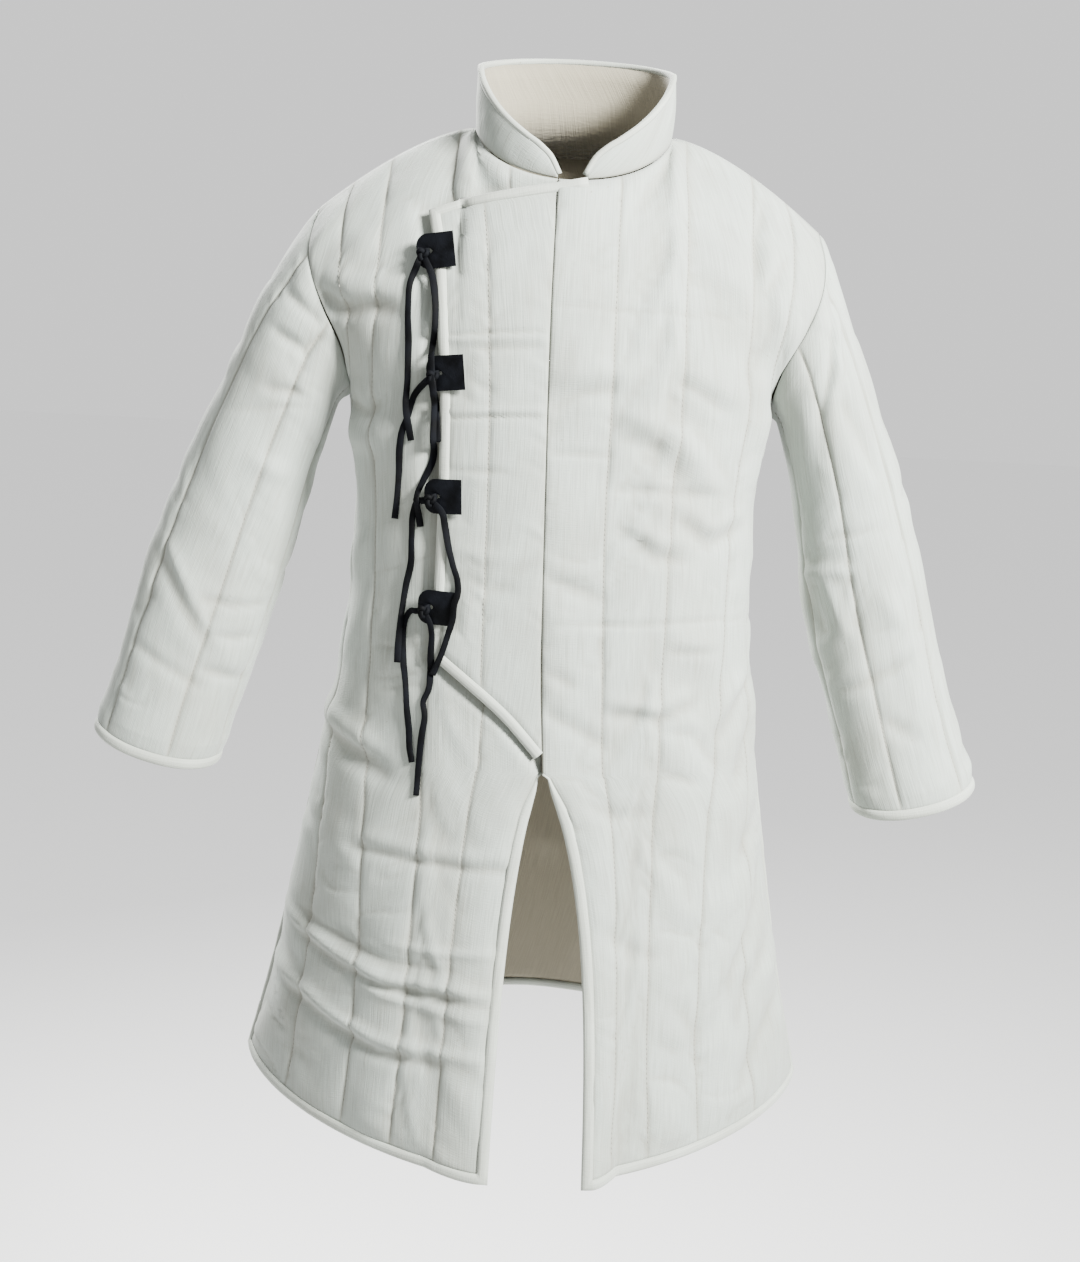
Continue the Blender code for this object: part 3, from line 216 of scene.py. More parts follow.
# Folds seen in the photograph, in millimetres: rise (below 0 for a crease), width, how sharp the fold
# is (1 for a pressed crease, 0 for a soft one), then its points from the front, x and z.
FOLDS = {
    "front_right": [
        (-7, 9, 0.3, (-238, -166), (-220, -181), (-202, -182), (-186, -176), (-160, -178)),
        (4, 14, 0, (-235, -150), (-205, -160), (-170, -158)),
        (-5, 9, 0.3, (-222, -270), (-188, -277), (-172, -266)),
        (3, 12, 0, (-215, -300), (-185, -305), (-165, -290)),
        (-5, 12, 0.2, (-235, -606), (-208, -614), (-181, -623), (-150, -634)),
        (4, 12, 0, (-235, -585), (-200, -594), (-165, -606)),
        (-2.5, 7, 0.5, (-190, -709), (-135, -711), (-73, -712), (-14, -708)),
        (1.5, 9, 0, (-190, -697), (-73, -700), (-20, -697)),
        (3.5, 6, 0.4, (-262, -806), (-221, -816), (-190, -825), (-143, -832), (-84, -829),
         (-30, -830)),
        (-2.5, 6, 0.3, (-260, -818), (-190, -836), (-143, -842), (-84, -840), (-36, -842)),
        (2.2, 5, 0.4, (-196, -834), (-142, -850), (-87, -853), (-40, -857)),
        (-2, 6, 0.3, (-250, -795), (-190, -808), (-143, -816), (-70, -812)),
        (2.0, 5, 0.3, (-143, -798), (-84, -795), (-25, -790)),
        (4, 7, 0.4, (-272, -868), (-222, -875), (-189, -888), (-147, -896), (-87, -893),
         (-34, -893)),
        (-2.5, 7, 0.2, (-270, -884), (-222, -890), (-189, -902), (-147, -910), (-87, -907)),
    ],
    "overlap": [
        (-1.4, 2.5, 0.8, (-113, -201), (-60, -195), (-17, -192)),
        (1.0, 4, 0.2, (-113, -206), (-60, -200), (-17, -197)),
        (-1.0, 4, 0.3, (-93, -212), (-18, -206)),
        (-1.5, 2.5, 0.8, (-106, -277), (-60, -272), (-14, -269)),
        (1.0, 4, 0.2, (-106, -270), (-60, -266), (-14, -263)),
        (-1.2, 5, 0.3, (-105, -326), (-45, -323)),
        (-1.0, 6, 0, (-100, -235), (-60, -250)),
        (1.0, 8, 0, (-95, -400), (-50, -405), (-15, -398)),
        (-1.0, 8, 0, (-95, -430), (-30, -436)),
    ],
    "front_left": [
        (-1.3, 3, 0.7, (-12, -167), (80, -168), (184, -170)),
        (-2.2, 8, 0.2, (-8, -262), (19, -247), (52, -242)),
        (2.0, 10, 0, (-5, -235), (30, -222), (60, -225)),
        (-2.5, 8, 0.2, (108, -231), (130, -240), (160, -260)),
        (4.0, 11, 0.1, (60, -264), (90, -272), (116, -285), (139, -309), (158, -343)),
        (-2.5, 10, 0.1, (62, -287), (92, -298), (116, -322), (128, -345)),
        (-1.5, 4, 0.5, (-9, -303), (52, -303)),
        (-2.0, 6, 0.4, (54, -335), (110, -337), (160, -339)),
        (-2.2, 8, 0.2, (66, -376), (97, -399), (130, -403)),
        (2.0, 9, 0, (70, -362), (100, -382), (128, -384)),
        (-2.5, 8, 0.2, (120, -362), (151, -388), (186, -372)),
        (2.0, 8, 0, (125, -348), (152, -370), (184, -356)),
        (-2.2, 9, 0.2, (-6, -420), (25, -432), (51, -441)),
        (-1.5, 3, 0.7, (-3, -467), (60, -465), (118, -463), (164, -462), (194, -466)),
        (-1.8, 6, 0.3, (118, -491), (165, -495)),
        (-2.0, 8, 0.2, (0, -513), (30, -526)),
        (-2.4, 9, 0.2, (1, -551), (30, -567), (64, -588)),
        (-2.4, 8, 0.2, (60, -553), (116, -561), (147, -544)),
        (2.0, 8, 0, (62, -540), (110, -546), (140, -532)),
        (-2.4, 8, 0.2, (122, -570), (146, -575), (173, -609)),
        (-4.0, 9, 0.3, (216, -527), (198, -546), (175, -588)),
        (3.0, 10, 0, (205, -520), (184, -540), (165, -570)),
        (-4.0, 9, 0.3, (220, -575), (206, -599), (197, -640)),
        (-4.5, 10, 0.3, (236, -655), (224, -684), (210, -712)),
        (-5.0, 11, 0.3, (236, -720), (235, -766), (225, -799), (210, -826), (203, -860)),
        (3.5, 10, 0, (222, -715), (218, -760), (205, -800), (192, -835)),
        (-4.5, 10, 0.3, (254, -800), (238, -838), (225, -852), (215, -885)),
        (-4.0, 10, 0.3, (266, -880), (240, -916), (220, -966)),
        (-3.5, 7, 0.4, (188, -62), (181, -96), (187, -180), (185, -199), (176, -227)),
        (-4.0, 8, 0.4, (209, -114), (193, -147), (199, -180), (194, -199), (179, -236)),
        (-2.0, 9, 0.1, (45, -640), (80, -655), (110, -650)),
        (-1.8, 9, 0.1, (120, -690), (150, -720), (155, -750)),
        (-1.8, 9, 0.1, (70, -760), (100, -790), (130, -795)),
        (-1.8, 9, 0.1, (150, -850), (170, -880), (175, -920)),
    ],
    "sleeve_right": [
        (2.5, 6, 0.4, (-384, -420), (-358, -468), (-335, -514)),
        (-2.0, 8, 0.1, (-395, -430), (-368, -480), (-345, -520)),
        (-2.6, 5, 0.5, (-349, -473), (-320, -480), (-292, -481)),
        (-2.4, 5, 0.5, (-341, -509), (-320, -514), (-300, -513)),
        (-2.2, 7, 0.3, (-416, -524), (-380, -545), (-347, -565)),
        (-2.4, 6, 0.3, (-348, -545), (-330, -552), (-312, -560)),
        (-4.5, 7, 0.4, (-282, -205), (-253, -222), (-230, -205)),
        (-3.0, 7, 0.3, (-275, -166), (-234, -197)),
        (-2.5, 6, 0.3, (-290, -261), (-254, -264)),
        (-1.2, 3, 0.7, (-326, -286), (-290, -281), (-250, -276)),
        (2.5, 10, 0, (-300, -330), (-270, -350)),
        (-2.0, 8, 0.1, (-400, -470), (-420, -500)),
    ],
    "sleeve_left": [
        (-3.0, 7, 0.3, (234, -128), (252, -163)),
        (-4.5, 7, 0.4, (257, -118), (263, -213), (257, -264)),
        (-3.5, 7, 0.4, (269, -154), (277, -218), (270, -241)),
        (3.0, 9, 0, (264, -150), (270, -215), (263, -250)),
        (-3.0, 8, 0.3, (275, -242), (300, -285), (319, -319)),
        (-2.5, 8, 0.3, (249, -241), (258, -280), (264, -308)),
        (3.5, 7, 0.3, (254, -428), (281, -414), (300, -412)),
        (3.0, 7, 0.3, (272, -414), (285, -441), (303, -478)),
        (-3.0, 8, 0.2, (262, -440), (272, -465), (286, -490)),
        (-3.0, 8, 0.2, (300, -538), (323, -526), (366, -497)),
        (-1.6, 5, 0.4, (276, -382), (332, -366)),
        (2.5, 9, 0, (330, -430), (355, -470)),
        (-2.2, 9, 0.1, (345, -560), (380, -580)),
    ],
}


def smooth(at, xs, ys):
    """The value at each place of a smooth curve through the points (xs, ys)."""
    at = np.clip(at, xs[0], xs[-1])
    slopes = np.gradient(ys, xs)
    i = np.clip(np.searchsorted(xs, at) - 1, 0, len(xs) - 2)
    h = xs[i + 1] - xs[i]
    t = (at - xs[i]) / h
    return ((1 + 2 * t) * (1 - t) ** 2 * ys[i] + t * (1 - t) ** 2 * h * slopes[i]
            + t * t * (3 - 2 * t) * ys[i + 1] - t * t * (1 - t) * h * slopes[i + 1])


def ramp(at, low, high):
    """0 below low, 1 above high, and an even curve between."""
    t = np.clip((at - low) / (high - low), 0, 1)
    return t * t * (3 - 2 * t)


def body(z, column):
    """A value from the body's table at a height."""
    return smooth(-np.asarray(z, float), -BODY["side_z"], BODY[column])


def seam_x(z):
    """Place of the front seam, where flap and left front meet."""
    return smooth(-np.asarray(z, float), -SEAM["z"], SEAM["x"])


def flap_left(z):
    """Place of the flap's free edge."""
    return smooth(-np.asarray(z, float), -FLAP_LEFT["z"], FLAP_LEFT["x"])


def neckline(x, depth, fall):
    """Depth and height of the neck's edge at a distance from the middle."""
    share = np.clip(1 - (np.abs(x) / NECK_HALF) ** NECK_SQUARE, 0, 1) ** (1 / NECK_SQUARE)
    return depth * share, fall * share ** NECK_FALL


def top_edge(x, front):
    """Depth and height of a panel's top: the neckline, then the shoulder seam."""
    depth, fall = (-NECK_FRONT, -NECK_DIP) if front else (NECK_BACK, NECK_RISE)
    y, z = neckline(x, depth, fall)
    return y, z - SHOULDER_DROP * np.clip(np.abs(x) - NECK_HALF, 0, None) ** 1.5


def yoke_y(x, share, front):
    """Depth of the form above the armpits, at a share of the way down from the top edge."""
    side = "front" if front else "back"
    sign = -1 if front else 1
    chest = BODY[side + "_depth"][0]
    edge_x = smooth(share, ARMHOLE["share"], ARMHOLE["x"])
    edge_y = smooth(share, ARMHOLE["share"], ARMHOLE[side])
    swell = 1 - (1 - share) ** 2.2
    reach = np.clip(edge_y / np.maximum(swell * chest, 1e-6), 0, 0.95)
    half = edge_x / (1 - reach ** ROUND) ** (1 / ROUND)
    curve = chest * (1 - np.clip(np.abs(x) / half, 0, 1) ** ROUND) ** (1 / ROUND)
    top_y, _ = top_edge(x, front)
    return top_y * (1 - swell) + sign * swell * curve


def front_y(x, z):
    """Depth of the front of the form at a place seen from the front."""
    x, z = np.broadcast_arrays(np.asarray(x, float), np.asarray(z, float))
    _, top_z = top_edge(x, True)
    share = np.clip((top_z - z) / (top_z - ARMPIT_Z), 0, 1)
    low_z = np.minimum(z, ARMPIT_Z)
    width, square = body(low_z, "half_width"), body(low_z, "square")
    curve = (1 - np.clip(np.abs(x) / width, 0, 1) ** square) ** (1 / square)
    return np.where(z > ARMPIT_Z, yoke_y(x, share, True), -body(low_z, "front_depth") * curve)


def quarter(shares, width, depth, square=ROUND):
    """Points at shares of the arc from the middle to the side of a section, and the arc's length."""
    t = np.linspace(0, math.pi / 2, 361)
    x = width * np.sin(t) ** (2 / square)
    y = depth * np.cos(t) ** (2 / square)
    run = np.concatenate([[0], np.cumsum(np.hypot(np.diff(x), np.diff(y)))])
    return np.interp(shares * run[-1], run, x), np.interp(shares * run[-1], run, y), run[-1]


def between(lines, per_channel):
    """Evenly spaced values from each line to the next."""
    steps = np.arange(per_channel) / per_channel
    steps = steps * (1 - CLUSTER) + (0.5 - 0.5 * np.cos(math.pi * steps)) * CLUSTER
    inner = [a + (b - a) * steps for a, b in zip(lines, lines[1:])]
    return np.concatenate(inner + [lines[-1:]])


def armhole_shares(rows):
    """Shares of the way from shoulder to armpit: even above, closing in round the armpit."""
    half = rows // 2
    even = np.arange(1, half + 1) / half
    low = 0.5 + 0.5 * (0.6 * even + 0.4 * np.sin(even * math.pi / 2))
    return np.concatenate([np.arange(half + 1) / rows, low])


def edge_width(z, top):
    """Width that the binding takes off a panel's edge below an opening's top."""
    return BINDING_NARROW + (BINDING - BINDING_NARROW) * ramp(top - z, 0, 0.045)


def front_edge(z, side):
    """Where a front panel's middle edge stands: on the front seam or, lower down, at the vent."""
    if z > VENT_TOP - 1e-6:
        return seam_x(z) - (SEAM_GAP if side < 0 else 0)
    curl = 1 - math.exp((z - VENT_TOP) / VENT_CURL)
    return VENT_X + VENT_SPREAD[side] * curl + side * (VENT_GAP + edge_width(z, VENT_TOP))


def shift_to(x, edge, side):
    """Moves a row's middle edge to its place, and the points beside it less and less."""
    return x + side * edge * np.clip(1 - x / SEAM_REACH, 0, 1)


def half_panel(side, front, heights):
    """Points of the half coat from the middle edge (column 0) to its side, rows from top to hem."""
    lines = FRONT_LINES if front else BACK_LINES
    tops = between(lines["top_x"], PER_CHANNEL)
    corner = np.argmin(np.abs(tops - NECK_HALF))
    tops[corner] = NECK_HALF
    chest = between(lines["chest"], PER_CHANNEL)
    hem = between(lines["hem"], PER_CHANNEL)
    depth_name = "front_depth" if front else "back_depth"
    sign = -1 if front else 1
    arm_x, arm_y, _ = quarter(chest, ARMPIT_X, BODY[depth_name][0])
    outside = ramp(tops, FRONT_LINES["top_x"][3], SHOULDER_X)
    top_seam = shift_to(tops, front_edge(-NECK_DIP, side), side) if front else tops
    _, top_z = top_edge(top_seam, front)
    rows = []
    for share in armhole_shares(ARM_ROWS):
        x = tops + (arm_x - tops) * share
        edge_x = smooth(share, ARMHOLE["share"], ARMHOLE["x"])
        x = x + (edge_x - x[-1]) * outside
        if front:
            x = shift_to(x, front_edge(top_z[0] + (ARMPIT_Z - top_z[0]) * share, side), side)
        z = top_z + (ARMPIT_Z - top_z) * share
        y = yoke_y(x, share, front)
        y = y * (1 - share ** 14) + sign * arm_y * share ** 14
        rows.append(np.stack([x, y, z], 1))
    for height in heights:
        down = (ARMPIT_Z - height) / (ARMPIT_Z - HEM_Z)
        shares = chest + (hem - chest) * ramp(down, 0, 1)
        size = body(height, "half_width"), body(height, depth_name), body(height, "square")
        _, _, arc = quarter(shares, *size)
        if height < SLIT_TOP + 1e-6:
            open_by = GAP + SLIT_SPREAD * ramp(SLIT_TOP - height, 0, 0.3)
            shares = shares * (1 - (edge_width(height, SLIT_TOP) + open_by) / arc)
        x, y, _ = quarter(shares, *size)
        if side < 0:
            x = x * (1 + FULLER * ramp(-height, 0.50, 0.62))
        if front:
            x = shift_to(x, front_edge(height, side), side)
        drop = body(height, "front_z" if front else "back_z") - height
        rows.append(np.stack([x, sign * y, height + drop * np.abs(y) / size[1]], 1))
    grid = np.array(rows)
    grid[..., 0] *= side
    grid[..., 1] += sign * 0.0002
    return grid


def normals_of(grid, closed=False):
    """Unit normals of a grid of points, pointing away from the coat's inside."""
    if closed:
        across = np.roll(grid, -1, 1) - np.roll(grid, 1, 1)
    else:
        across = np.gradient(grid, axis=1)
    normals = np.cross(across, np.gradient(grid, axis=0))
    normals /= np.linalg.norm(normals, axis=2, keepdims=True) + 1e-12
    middle = grid.mean(1, keepdims=True) if closed else np.zeros(3)
    outwards = ((grid - middle) * normals)[..., :2].sum() > 0
    return normals if outwards else -normals


def under_flap(x, z):
    """1 where the flap lies over the right front, 0 clear of it."""
    beside = ramp(x - flap_left(z), -0.020, -0.002)
    top = smooth(x, FLAP_TOP["x"], FLAP_TOP["z"])
    foot = smooth(x, FLAP_FOOT["x"], FLAP_FOOT["z"])
    return beside * (1 - ramp(z - top, 0.000, 0.016)) * ramp(z - foot, -0.016, 0.000)


def hashed(i, j, seed):
    """A value from -1 to 1 for each whole place, the same every time."""
    wave = np.sin(i * 127.1 + j * 311.7 + seed * 74.7) * 43758.5453
    return 2 * (wave - np.floor(wave)) - 1


def rolling(u, v, seed):
    """Smooth uneven waves from -1 to 1, one unit apart."""
    i, j = np.floor(u), np.floor(v)
    s, t = u - i, v - j
    s, t = s * s * (3 - 2 * s), t * t * (3 - 2 * t)
    low = hashed(i, j, seed) * (1 - s) + hashed(i + 1, j, seed) * s
    high = hashed(i, j + 1, seed) * (1 - s) + hashed(i + 1, j + 1, seed) * s
    return low * (1 - t) + high * t


def fold_rise(name, grid, normals):
    """Rise of the panel's folds at each point, in metres."""
    total = np.zeros(grid.shape[:-1])
    facing = ramp(-normals[..., 1], -0.05, 0.55)
    for rise, width, sharp, *points in FOLDS.get(name, ()):
        points = np.array(points) / 1000
        lengths = np.linalg.norm(np.diff(points, axis=0), axis=1)
        run = np.concatenate([[0], np.cumsum(lengths)])
        nearest = np.full(total.shape, 1e9)
        where = np.zeros(total.shape)
        for start, step, before, length in zip(points, np.diff(points, axis=0), run, lengths):
            place = grid[..., [0, 2]] - start
            along = np.clip(place @ step / length ** 2, 0, 1)
            away = np.linalg.norm(place - along[..., None] * step, axis=-1)
            closer = away < nearest
            nearest = np.where(closer, away, nearest)
            where = np.where(closer, before + along * length, where)
        share = where / run[-1]
        taper = np.clip(4 * share * (1 - share), 0, 1) ** 0.7
        scaled = nearest * 1000 / width
        profile = sharp * np.exp(-1.6 * scaled) + (1 - sharp) * np.exp(-scaled ** 2)
        total += FOLD_DEPTH * rise / 1000 * profile * (0.25 + 0.75 * taper) * facing
    return FOLD_CAP * np.tanh(total / FOLD_CAP)


def runs_of(grid):
    """Distance along each row and down each column of a grid, from its first column and row."""
    across = np.linalg.norm(np.diff(grid, axis=1), axis=2)
    down = np.linalg.norm(np.diff(grid, axis=0), axis=2)
    u = np.concatenate([np.zeros((grid.shape[0], 1)), np.cumsum(across, 1)], 1)
    v = np.concatenate([np.zeros((1, grid.shape[1])), np.cumsum(down, 0)])
    return u, v


def spans(u, lines):
    """Number of each point's channel, its share of the way across it and the channel's width."""
    channel = np.zeros(u.shape)
    share = np.zeros(u.shape)
    wide = np.ones(u.shape)
    for k, (a, b) in enumerate(zip(lines, lines[1:])):
        part = slice(a, b + 1)
        width = np.maximum(u[:, b:b + 1] - u[:, a:a + 1], 1e-6)
        share[:, part] = (u[:, part] - u[:, a:a + 1]) / width
        wide[:, part] = width
        channel[:, part] = k
    return channel, share, wide


def quilting(grid, lines, seed, crown=CROWN, waves=WAVES, slant=0.0):
    """Rise of the padding, its wrinkles and its stitched grooves, and the distance to the nearest line."""
    u, v = runs_of(grid)
    channel, share, wide = spans(u, lines)
    nearest = np.minimum(share, 1 - share) * wide
    size = np.clip(wide / 0.050, 0.35, 1.1)
    dome = 1 - (2 * share - 1) ** 2
    uneven = 1 + 0.35 * rolling(channel * 4.1 + 0.5, v / 0.07, seed + 1)
    rise = crown * size * (0.45 * dome + 0.55 * (1 - np.exp(-nearest / GROOVE_REACH))) * uneven
    warp = 0.014 * rolling(u / 0.05, v / 0.045, seed + 2)
    broad = rolling(u / 0.085, (v + warp + u * slant) / 0.050, seed + 3)
    wave = rolling(channel * 7.3 + share * wide / 0.065, (v + warp + u * (slant + 0.25)) / 0.027, seed + 4)
    gate = ramp(rolling(channel * 3.3 + 0.5, v / 0.075, seed + 5), -0.25, 0.45)
    crisp = -np.exp(-(wave / 0.13) ** 2) * gate
    inside = 1 - np.exp(-nearest / 0.010)
    rise += waves * (0.9 * broad * (0.5 + 0.5 * inside) + (0.75 * wave + 0.5 * crisp) * inside)
    for side, away in ((0, share * wide), (1, (1 - share) * wide)):
        line = channel + side
        here = ramp(rolling(line * 2.7 + 0.5, v / 0.040, seed + 6), -0.1, 0.5)
        pucker = rolling(line * 5.3 + away / 0.030, (v + away * 0.5) / 0.0085, seed + 7 + side)
        rise += PUCKER * here * pucker * np.exp(-away / 0.010) * (1 - np.exp(-away / 0.0015))
    return rise, nearest


def fade_ends(rise, v, reach=0.016):
    """Lets the padding thin out towards the first and last rows."""
    ends = np.minimum(v, v[-1:] - v)
    return rise * np.clip(ends / reach, 0, 1) ** 0.6


def shade_in_creases(points, normals, nearest):
    """Painted shade: how deep each point lies in a crease or by a stitch line, from 0 to 1, to darken the
    cloth's colour there.
    """
    bend = np.zeros(nearest.shape)
    for reach, size in ((1, 0.00025), (3, 0.0014)):
        inner = slice(reach, -reach)
        around = (points[:-2 * reach, inner] + points[2 * reach:, inner]
                  + points[inner, :-2 * reach] + points[inner, 2 * reach:]) / 4
        hollow = ((around - points[inner, inner]) * normals[inner, inner]).sum(-1)
        bend[inner, inner] += 0.22 * np.clip(hollow / size, -0.4, 1)
    return np.clip(0.65 * np.exp(-nearest / 0.0024) + bend, 0, 1)


# Materials.

def shader(name):
    """An empty material and its main shader."""
    material = bpy.data.materials.new(name)
    material.use_nodes = True
    return material, material.node_tree, material.node_tree.nodes["Principled BSDF"]


def add(tree, kind, inputs=(), **settings):
    """Adds a node. Each input is a value, or a socket to link."""
    node = tree.nodes.new("ShaderNode" + kind)
    for key, value in settings.items():
        setattr(node, key, value)
    for key, value in dict(inputs).items():
        if isinstance(value, bpy.types.NodeSocket):
            tree.links.new(value, node.inputs[key])
        else:
            node.inputs[key].default_value = value
    return node


def scaled(tree, source, scale):
    """A texture vector, stretched."""
    return add(tree, "VectorMath", {0: source, 1: scale}, operation="MULTIPLY").outputs[0]


def mapped(tree, value, low, high, to_low=0.0, to_high=1.0):
    """A value moved from one range to another and kept within it."""
    node = add(tree, "MapRange", {"Value": value, "From Min": low, "From Max": high,
                                  "To Min": to_low, "To Max": to_high})
    return node.outputs["Result"]


def mixed(tree, factor, a, b):
    """Two colours mixed."""
    return add(tree, "Mix", {0: factor, 6: a, 7: b}, data_type="RGBA").outputs[2]


def canvas(name, light, dark_tone_and_shade, rough=0.85, slub=0.5):
    """Undyed cotton canvas: streaky yarns, a fine weave, small dark neps, and painted shade along its stitch
    lines and in its creases.
    """
    material, tree, main = shader(name)
    cut = add(tree, "UVMap", uv_map="cut").outputs["UV"]
    streak = add(tree, "TexNoise", {"Vector": scaled(tree, cut, (760, 26, 1)), "Scale": 1.0,
                                    "Detail": 2.0}).outputs["Fac"]
    cross = add(tree, "TexNoise", {"Vector": scaled(tree, cut, (90, 1100, 1)), "Scale": 1.0,
                                   "Detail": 2.0}).outputs["Fac"]
    thick = add(tree, "TexNoise", {"Vector": scaled(tree, cut, (300, 14, 1)), "Scale": 1.0,
                                   "Detail": 3.0}).outputs["Fac"]
    blotch = add(tree, "TexNoise", {"Vector": scaled(tree, cut, (11, 8, 1)), "Scale": 1.0,
                                    "Detail": 4.0}).outputs["Fac"]
    speck = add(tree, "TexVoronoi", {"Vector": scaled(tree, cut, (62, 62, 1)), "Scale": 1.0})
    chosen = mapped(tree, add(tree, "SeparateColor", {0: speck.outputs["Color"]}).outputs[0], 0.80, 0.82)
    dot = mapped(tree, speck.outputs["Distance"], 0.035, 0.070, 1, 0)
    nep = add(tree, "Math", {0: chosen, 1: dot}, operation="MULTIPLY").outputs[0]
    # mask of painted shade in creases and beside stitch lines, stored on the mesh
    seam = add(tree, "Attribute", attribute_name="painted_shade").outputs["Fac"]
    dark = tuple(channel * 0.80 for channel in light[:3]) + (1,)
    colour = mixed(tree, mapped(tree, streak, 0.35, 0.65, 0, 0.75), light, dark)
    # the darker colour gives thick yarns and blotches their own tone, and below it also paints shade
    colour = mixed(tree, mapped(tree, thick, 0.52, 0.70, 0, slub * 0.5), colour, dark_tone_and_shade)
    colour = mixed(tree, mapped(tree, blotch, 0.42, 0.68, 0, 0.35), colour, dark_tone_and_shade)
    # painted shade: the colour darkens in creases and beside stitch lines
    colour = mixed(tree, mapped(tree, seam, 0, 1, 0, 0.75), colour, dark_tone_and_shade)
    colour = mixed(tree, mapped(tree, nep, 0, 1, 0, 0.7), colour, (0.16, 0.15, 0.12, 1))
    tree.links.new(colour, main.inputs["Base Color"])
    yarns = add(tree, "Math", {0: streak, 1: cross}, operation="ADD").outputs[0]
    relief = add(tree, "Math", {0: yarns, 1: thick}, operation="ADD").outputs[0]
    bump = add(tree, "Bump", {"Height": relief, "Strength": 0.5, "Distance": 0.0007})
    tree.links.new(bump.outputs["Normal"], main.inputs["Normal"])
    main.inputs["Roughness"].default_value = rough
    main.inputs["Sheen Weight"].default_value = 0.15
    main.inputs["Sheen Roughness"].default_value = 0.5
    main.inputs["Specular IOR Level"].default_value = 0.25
    return material


def black_leather(name, rough=0.42, scale=900):
    """Black leather: a fine pebbled grain, with uneven patches of wear a little bluer and duller."""
    material, tree, main = shader(name)
    place = add(tree, "TexCoord").outputs["Object"]
    grain = add(tree, "TexVoronoi", {"Vector": place, "Scale": float(scale)}).outputs["Distance"]
    patch = add(tree, "TexNoise", {"Vector": place, "Scale": 70.0, "Detail": 4.0}).outputs["Fac"]
    colour = mixed(tree, mapped(tree, patch, 0.35, 0.7), (0.0008, 0.0009, 0.0011, 1),
                   (0.0024, 0.0028, 0.0040, 1))
    tree.links.new(colour, main.inputs["Base Color"])
    tree.links.new(mapped(tree, patch, 0.3, 0.7, rough - 0.08, rough + 0.12), main.inputs["Roughness"])
    bump = add(tree, "Bump", {"Height": grain, "Strength": 0.4, "Distance": 0.0004})
    tree.links.new(bump.outputs["Normal"], main.inputs["Normal"])
    main.inputs["Specular IOR Level"].default_value = 0.05
    return material


def plain(name, colour, rough):
    """One colour with a trace of unevenness."""
    material, tree, main = shader(name)
    place = add(tree, "TexCoord").outputs["Object"]
    uneven = add(tree, "TexNoise", {"Vector": place, "Scale": 900.0, "Detail": 2.0}).outputs["Fac"]
    darker = tuple(channel * 0.8 for channel in colour[:3]) + (1,)
    tree.links.new(mixed(tree, uneven, colour, darker), main.inputs["Base Color"])
    main.inputs["Roughness"].default_value = rough
    return material


# Each canvas's second colour is its darker tone: real for its yarns and blotches, and painted shade in
# creases and by stitch lines.
CLOTH = canvas("quilted_cotton_canvas", (0.275, 0.304, 0.274, 1), (0.165, 0.160, 0.130, 1))
TRIM = canvas("binding_cotton", (0.305, 0.328, 0.290, 1), (0.185, 0.18, 0.148, 1), 0.8, 0.3)
# The inside's cloth is darker and warmer than the outside: partly unbleached cotton, partly painted shade of
# the coat's inside.
LINING_AND_SHADE = canvas("lining_cotton_and_shade", (0.205, 0.187, 0.137, 1), (0.165, 0.147, 0.105, 1), 0.9, 0.3)
THREAD = plain("cotton_thread", (0.17, 0.17, 0.145, 1), 0.7)
LEATHER = black_leather("black_leather")
STRAP = black_leather("black_strap", 0.72, 1300)


# Meshes.

def grid_faces(rows, columns, first, closed):
    """Corner numbers of a grid's faces, and the grid places of the same corners."""
    wrap = columns if closed else columns - 1
    r, c = np.meshgrid(np.arange(rows - 1), np.arange(wrap), indexing="ij")
    r, c = r.ravel(), c.ravel()
    d = (c + 1) % columns
    corners = np.stack([r * columns + c, r * columns + d, (r + 1) * columns + d, (r + 1) * columns + c], 1)
    places = np.stack([np.stack([r, c], 1), np.stack([r, c + 1], 1),
                       np.stack([r + 1, c + 1], 1), np.stack([r + 1, c], 1)], 1)
    return corners + first, places


def zip_rows(first, second):
    """Triangles between two rows of corners that run the same way, of any two counts."""
    faces = []
    i = j = 0
    while i < len(first) - 1 or j < len(second) - 1:
        ahead = (i + 1) / max(len(first) - 1, 1) <= (j + 1) / max(len(second) - 1, 1)
        if j == len(second) - 1 or (ahead and i < len(first) - 1):
            faces.append((first[i], first[i + 1], second[j]))
            i += 1
        else:
            faces.append((first[i], second[j + 1], second[j]))
            j += 1
    return faces


